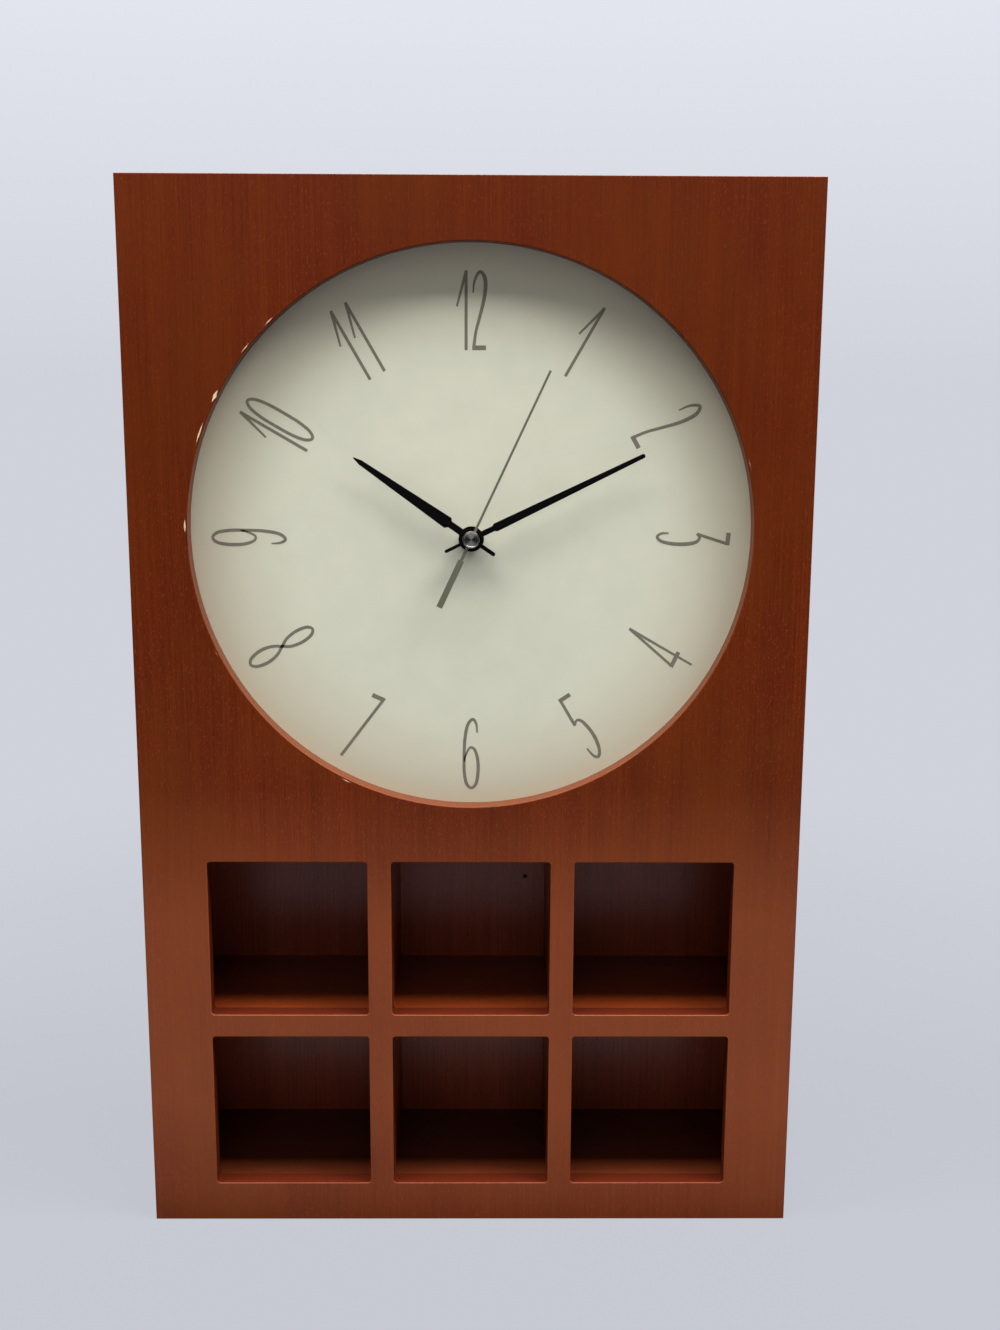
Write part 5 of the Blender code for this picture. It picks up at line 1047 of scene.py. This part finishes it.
class CLOCK_OT_screws(Operator):
    """Cross-head screws of the back, the hanger and the dial board"""

    bl_idname = "clock.screws"
    bl_label = "Screws"

    recess_width: length_property("Recess", 2.6, "Width of the cross recess")
    recess_blade: length_property("Blade", 0.55, "Thickness of the blade that fits the recess")
    recess_depth: length_property("Depth", 0.75, "Depth of the cross recess")

    # Radii of the shank and the head, the pitch of the thread, and the lengths of the point, of the
    # thread's plain ends together, of the head and of its dome
    shank, head, pitch = 1.2 * MM, 2.5 * MM, 0.5 * MM
    point, plain, head_length, dome = 1.4 * MM, 2.8 * MM, 1.2 * MM, 0.8 * MM
    # Width of the recess at its foot as a share, and the angle from one screw to the next, because
    # each was driven home at another one
    recess_taper, turned = 0.55, 0.7

    def profile(self, length, countersunk):
        """Radius and depth of the screw from its point to its head, whose top is at depth 0."""
        shank, head = self.shank, self.head
        start = -length + self.point
        profile = [(0, -length), (0.25 * MM, -length + 0.3 * MM), (shank, start)]
        for i in range(int((length - self.plain) / self.pitch)):
            low = start + i * self.pitch
            profile += [(shank - depth * MM, low + along * MM) for depth, along in THREAD]
        profile.append((shank, -self.head_length))
        if countersunk:
            return profile + [(head - 0.05 * MM, -0.12 * MM), (head, -0.04 * MM), (0, 0)]
        profile.append((head, -self.head_length))
        for i in range(7):
            turn = pi / 2 * i / 6
            profile.append((head * cos(turn) ** 0.6, -self.dome + self.dome * sin(turn)))
        return profile

    def blade(self, name, across):
        """One arm of the cross that is cut out of the head, narrower at its foot."""
        bm = bmesh.new()
        bmesh.ops.create_cube(bm, size=1)
        size = [self.recess_width, 2 * self.recess_depth, self.recess_blade]
        if across:
            size.reverse()
        bmesh.ops.scale(bm, vec=size, verts=bm.verts)
        for vert in bm.verts:
            if vert.co.y < 0:
                vert.co.x *= self.recess_taper
                vert.co.z *= self.recess_taper
        return mesh_piece(f"{name}_recess_{across}", bm)

    def screw_mesh(self, name, length, countersunk, finish):
        """Mesh of a screw, made once for all of a kind."""
        body = lathe(name, self.profile(length, countersunk), (0, 0, 0), finish, 28)
        body.modifiers.clear()
        blades = [self.blade(name, across) for across in (0, 1)]
        for blade in blades:
            cut = body.modifiers.new("Recess", "BOOLEAN")
            cut.operation = "DIFFERENCE"
            cut.solver = "EXACT"
            cut.object = blade
        bpy.context.view_layer.update()
        graph = bpy.context.evaluated_depsgraph_get()
        mesh = bpy.data.meshes.new_from_object(body.evaluated_get(graph), depsgraph=graph)
        mesh.name = name
        for spare in (body, *blades):
            bpy.data.objects.remove(spare)
        return mesh

    def execute(self, context):
        finish = plated_steel()
        kinds = {}
        for index, node in enumerate(sorted(n for n in NODES if "screw" in n)):
            low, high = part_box(node)
            length = round(high.y - low.y, 5)
            if length not in kinds:
                name, countersunk = f"screw_{length / MM:.0f}_mm", node.startswith("hanger")
                kinds[length] = self.screw_mesh(name, length, countersunk, finish)
            piece = linked(node + "_cross_head", kinds[length])
            piece.location = ((low.x + high.x) / 2, high.y, (low.z + high.z) / 2)
            piece.rotation_euler = (0, index * self.turned, 0)
            smooth_faces(piece, 40)
            keep(piece, "case", "zinc_steel", node)
        return {"FINISHED"}


class CLOCK_OT_dial(Operator):
    """Dial card, the board behind it and what clamps the movement to them"""

    bl_idname = "clock.dial"
    bl_label = "Dial"

    def execute(self, context):
        dress("dial_card", printed_card())
        dress("dial_board", screen_hardboard(), 0.3)
        brass = turned_brass()
        dress("threaded_bushing fixing_nut dial_washer", brass, 0.1)
        dress("contact_positive contact_negative", brass)
        dress("rubber_gasket", moulded_rubber(), 0.1)
        return {"FINISHED"}


class CLOCK_OT_numerals(Operator):
    """The twelve printed numerals"""

    bl_idname = "clock.numerals"
    bl_label = "Numerals"

    def smooth_line(self, points, steps=8):
        """Points of a smooth line through the given (across, up, width) points."""
        if len(points) < 3:
            return points
        closed = points[0] == points[-1]
        before = points[-2] if closed else [2 * a - b for a, b in zip(points[0], points[1])]
        after = points[1] if closed else [2 * a - b for a, b in zip(points[-1], points[-2])]
        knots = [before, *points, after]
        line = []
        for p0, p1, p2, p3 in zip(knots, knots[1:], knots[2:], knots[3:]):
            for i in range(steps):
                t = i / steps
                line.append([
                    0.5 * (
                        2 * b + (c - a) * t + (2 * a - 5 * b + 4 * c - d) * t**2
                        + (3 * b - a - 3 * c + d) * t**3
                    )
                    for a, b, c, d in zip(p0, p1, p2, p3)
                ])
        return line + [points[-1]]

    def pen_lines(self, hour):
        """Lines of an hour's numeral as (x, z, width) in metres, turned as on the dial."""
        text = str(hour)
        # From 4 to 8 the heads point to the hub, so that these numerals read upright too
        turn = radians(30 * hour + (180 if 4 <= hour <= 8 else 0))
        lines = []
        for digit, shift in zip(text, DIGIT_SHIFTS.get(text, (0,))):
            for stroke in STROKES[digit]:
                line = self.smooth_line([(u + shift, v, w) for u, v, w in stroke])
                lines.append([
                    (
                        (u * cos(turn) + v * sin(turn)) * MM,
                        (v * cos(turn) - u * sin(turn)) * MM,
                        w * MM,
                    )
                    for u, v, w in line
                ])
        return lines

    def ribbon(self, bm, line, shift_x, shift_z, depths):
        """Adds a closed strip along a pen line, from one depth to the other."""
        rails = []
        for i, (x, z, width) in enumerate(line):
            x0, z0, _ = line[max(i - 1, 0)]
            x1, z1, _ = line[min(i + 1, len(line) - 1)]
            run = hypot(x1 - x0, z1 - z0)
            nx, nz = -(z1 - z0) / run * width / 2, (x1 - x0) / run * width / 2
            rails.append([
                bm.verts.new((shift_x + x + side * nx, depth, shift_z + z + side * nz))
                for side in (1, -1)
                for depth in depths
            ])
        for near, far in zip(rails, rails[1:]):
            for a, b in ((0, 2), (2, 3), (3, 1), (1, 0)):
                bm.faces.new((near[a], near[b], far[b], far[a]))
        for end in (rails[0], rails[-1]):
            bm.faces.new((end[0], end[2], end[3], end[1]))

    def execute(self, context):
        dial = settings("dial")
        finish = printing_ink()
        front, back = CARD_LOW.y - dial.ink_thickness, CARD_LOW.y + INK_ROOT
        for hour in range(1, 13):
            lines = self.pen_lines(hour)
            xs = [x for line in lines for x, _, _ in line]
            zs = [z for line in lines for _, z, _ in line]
            place = radians(30 * hour)
            shift_x = HUB.x + dial.numeral_radius * sin(place) - (min(xs) + max(xs)) / 2
            shift_z = HUB.z + dial.numeral_radius * cos(place) - (min(zs) + max(zs)) / 2
            bm = bmesh.new()
            for number, line in enumerate(lines):
                # Strokes that cross lie a hair apart in depth, so that no two faces share a plane
                lift = number * STROKE_LIFT
                self.ribbon(bm, line, shift_x, shift_z, (front + lift, back))
            bmesh.ops.recalc_face_normals(bm, faces=bm.faces)
            keep(mesh_piece(f"numeral_{hour}", bm, finish), "case", "dial_card")
        return {"FINISHED"}


class CLOCK_OT_hands(Operator):
    """Hour, minute and second hand, and the spun cap"""

    bl_idname = "clock.hands"
    bl_label = "Hands"

    def execute(self, context):
        hands = settings("hands")
        black = enamel("black_stoving_enamel", hands.black_enamel, 0.5, 0.06)
        dress("hour_hand minute_hand", black, 0.08)
        grey_film = enamel("silver_grey_stoving_enamel", hands.grey_enamel, 0.45, 0.2)
        dress("second_hand", grey_film, 0.06)
        radius = (CAP_HIGH.x - CAP_LOW.x) / 2
        front, back = CAP_LOW.y - HUB.y, CAP_HIGH.y - HUB.y
        profile = [(0, front + CAP_MIDDLE)]
        profile += [(radius - inside * MM, front + depth * MM) for inside, depth in CAP_PROFILE]
        profile += [(radius, back), (0, back)]
        piece = lathe("spun_cap", profile, HUB, spun_steel(), 72)
        keep(piece, "second", "spun_steel", "second_cap")
        return {"FINISHED"}


class CLOCK_OT_movement(Operator):
    """Moulded movement, knob and cell"""

    bl_idname = "clock.movement"
    bl_label = "Movement"

    def execute(self, context):
        plastic = moulded_abs()
        dress("movement_case", plastic)
        dress("movement_cover", plastic, 0.3)
        dress("set_knob", plastic, 0.25)
        low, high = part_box("battery")
        dress("battery", battery_skin(low.x, high.x))
        return {"FINISHED"}


class CLOCK_OT_train(Operator):
    """Wheels, motor and circuit inside the movement"""

    bl_idname = "clock.train"
    bl_label = "Train and motor"

    def execute(self, context):
        white = moulded_acetal()
        dress("train_bridge centre_wheel third_wheel second_wheel intermediate_wheel", white)
        dress("rotor_pinion minute_arbor motion_wheel hour_wheel", white)
        dress("coil", wound_copper())
        dress("coil_core stator", punched_iron())
        dress("rotor_magnet", sintered_ferrite(), 0.1)
        low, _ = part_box("circuit_board")
        dress("circuit_board", circuit_laminate(low.y + LAMINATE_THICKNESS))
        dress("quartz_crystal", plated_steel(), 0.15)
        return {"FINISHED"}


class CLOCK_OT_stage(Operator):
    """Floor, background, lamps and camera"""

    bl_idname = "clock.stage"
    bl_label = "Stage"

    def lamp(self, name, power, size, place, target, tint):
        data = bpy.data.lights.new(name, "AREA")
        data.shape = "RECTANGLE"
        data.size, data.size_y = size
        data.energy = power
        data.color = tint
        made = linked(name, data)
        made.visible_camera = False
        made.location = place
        aim = Vector(target) - Vector(place)
        made.rotation_euler = aim.to_track_quat("-Z", "Y").to_euler()

    def seen_rays(self, tree):
        """1 for rays from the camera, mirrors and glass, and 0 for the light on the clock."""
        path = add(tree, "LightPath")
        inputs = {0: path["Is Glossy Ray"], 1: path["Is Transmission Ray"]}
        glass = add(tree, "Math", inputs, operation="MAXIMUM")[0]
        return add(tree, "Math", {0: path["Is Camera Ray"], 1: glass}, operation="MAXIMUM")[0]

    def brightness(self, tree, coordinate, levels):
        """Strength of the background, which gloss sees at levels by the place in front."""
        reach = levels[-1][0]
        ahead = add(tree, "SeparateXYZ", {0: add(tree, "TexCoord")[coordinate]})[1]
        ahead = add(tree, "MapRange", {"Value": ahead, "From Max": -reach})[0]
        stops = [(place / reach, grey(level)) for place, level in levels]
        level = add(tree, "ValToRGB", {"Fac": ahead}, stops, "EASE")[0]
        dim = add(tree, "Math", {0: 1, 1: level}, operation="SUBTRACT")[0]
        gloss = add(tree, "LightPath")["Is Glossy Ray"]
        dim = add(tree, "Math", {0: dim, 1: gloss}, operation="MULTIPLY")[0]
        return add(tree, "Math", {0: 1, 1: dim}, operation="SUBTRACT")[0]

    def background(self, stage):
        """World that is pale to the camera and in reflections, and gives only a little light."""
        world = bpy.data.worlds.new("soft_room")
        world.use_nodes = True
        tree = world.node_tree
        tree.nodes.clear()
        inputs = {"Color": rgba(WHITE), "Strength": stage.ambient}
        soft = add(tree, "Background", inputs)[0]
        up = add(tree, "SeparateXYZ", {0: add(tree, "TexCoord")["Generated"]})[2]
        stops = [(0, stage.backdrop), (0.35, stage.backdrop_top)]
        sweep = add(tree, "ValToRGB", {"Fac": up}, stops)[0]
        strength = self.brightness(tree, "Generated", [(0.15, 1), (0.7, stage.open_front)])
        pale = add(tree, "Background", {"Color": sweep, "Strength": strength})[0]
        mixed = add(tree, "MixShader", {0: self.seen_rays(tree), 1: soft, 2: pale})[0]
        add(tree, "OutputWorld", {"Surface": mixed})
        return world

    def painted_floor(self, stage):
        """Matt painted sweep."""
        # Near the clock the paint takes shadows, and further out it runs into the background.
        tree = new_tree("matt_painted_floor")
        place = add(tree, "TexCoord")["Object"]
        away = add(tree, "VectorMath", {0: place}, operation="LENGTH")["Value"]
        inputs = {"Value": away, "From Min": 0.3, "From Max": 0.9, "To Min": stage.floor_glow}
        far = add(tree, "MapRange", inputs, interpolation_type="SMOOTHSTEP")[0]
        fade = add(tree, "Math", {0: far, 1: self.seen_rays(tree)}, operation="MULTIPLY")[0]
        grain = add(tree, "TexNoise", {"Vector": spaced(tree, 50), "Scale": 1, "Detail": 3})[0]
        stops = [(0.3, shade(stage.floor, 0.985)), (0.7, stage.floor)]
        paint = add(tree, "ValToRGB", {"Fac": grain}, stops)[0]
        ground = add(tree, "BsdfDiffuse", {"Color": paint, "Roughness": 0.9})[0]
        levels = [(0.16, 0.35), (0.42, 1), (0.5, 1), (1, stage.open_front)]
        strength = self.brightness(tree, "Object", levels)
        inputs = {"Color": rgba(stage.backdrop), "Strength": strength}
        glow = add(tree, "Emission", inputs)[0]
        mixed = add(tree, "MixShader", {0: fade, 1: ground, 2: glow})[0]
        add(tree, "OutputMaterial", {"Surface": mixed})
        return material_of(tree)

    def execute(self, context):
        stage = settings("stage")
        scene = context.scene
        scene.world = self.background(stage)

        bm = bmesh.new()
        bmesh.ops.create_grid(bm, x_segments=8, y_segments=8, size=9)
        floor = mesh_piece("floor", bm, self.painted_floor(stage))
        floor.location = (0, 0, -FLOOR_DROP)

        for name, values in LAMPS.items():
            self.lamp(name, getattr(stage, name), *values)

        data = bpy.data.cameras.new("camera")
        data.sensor_width = 36
        data.lens = stage.lens
        data.clip_start, data.clip_end = 0.02, 50
        camera = linked("camera", data)
        camera.location = stage.camera_place
        camera.rotation_euler = stage.camera_turn
        scene.camera = camera
        scene.view_settings.view_transform = "Standard"
        return {"FINISHED"}


GROUPS = {
    "clock_front_board": ClockFrontBoard,
    "clock_case": ClockCase,
    "clock_dial": ClockDial,
    "clock_hands": ClockHands,
    "clock_movement": ClockMovement,
    "clock_stage": ClockStage,
}
STEPS = [
    CLOCK_OT_front_board,
    CLOCK_OT_case_boards,
    CLOCK_OT_back,
    CLOCK_OT_screws,
    CLOCK_OT_dial,
    CLOCK_OT_numerals,
    CLOCK_OT_hands,
    CLOCK_OT_movement,
    CLOCK_OT_train,
    CLOCK_OT_stage,
]


class CLOCK_PT_sidebar(Panel):
    """Sizes, colours and steps of the clock"""

    bl_idname = "CLOCK_PT_sidebar"
    bl_label = "Shelf wall clock"
    bl_space_type = "VIEW_3D"
    bl_region_type = "UI"
    bl_category = "Clock"

    def draw(self, context):
        for name, group in GROUPS.items():
            box = self.layout.box()
            box.label(text=group.__doc__)
            for key in group.__annotations__:
                box.prop(getattr(context.scene, name), key)
        for step in STEPS:
            self.layout.operator(step.bl_idname)


def register():
    for name, group in GROUPS.items():
        bpy.utils.register_class(group)
        setattr(bpy.types.Scene, name, PointerProperty(type=group))
    for step in STEPS:
        bpy.utils.register_class(step)
    bpy.utils.register_class(CLOCK_PT_sidebar)


def unregister():
    bpy.utils.unregister_class(CLOCK_PT_sidebar)
    for step in reversed(STEPS):
        bpy.utils.unregister_class(step)
    for name, group in reversed(GROUPS.items()):
        delattr(bpy.types.Scene, name)
        bpy.utils.unregister_class(group)


def main():
    register()
    for step in STEPS:
        category, name = step.bl_idname.split(".")
        getattr(getattr(bpy.ops, category), name)()


if __name__ == "__main__":
    main()
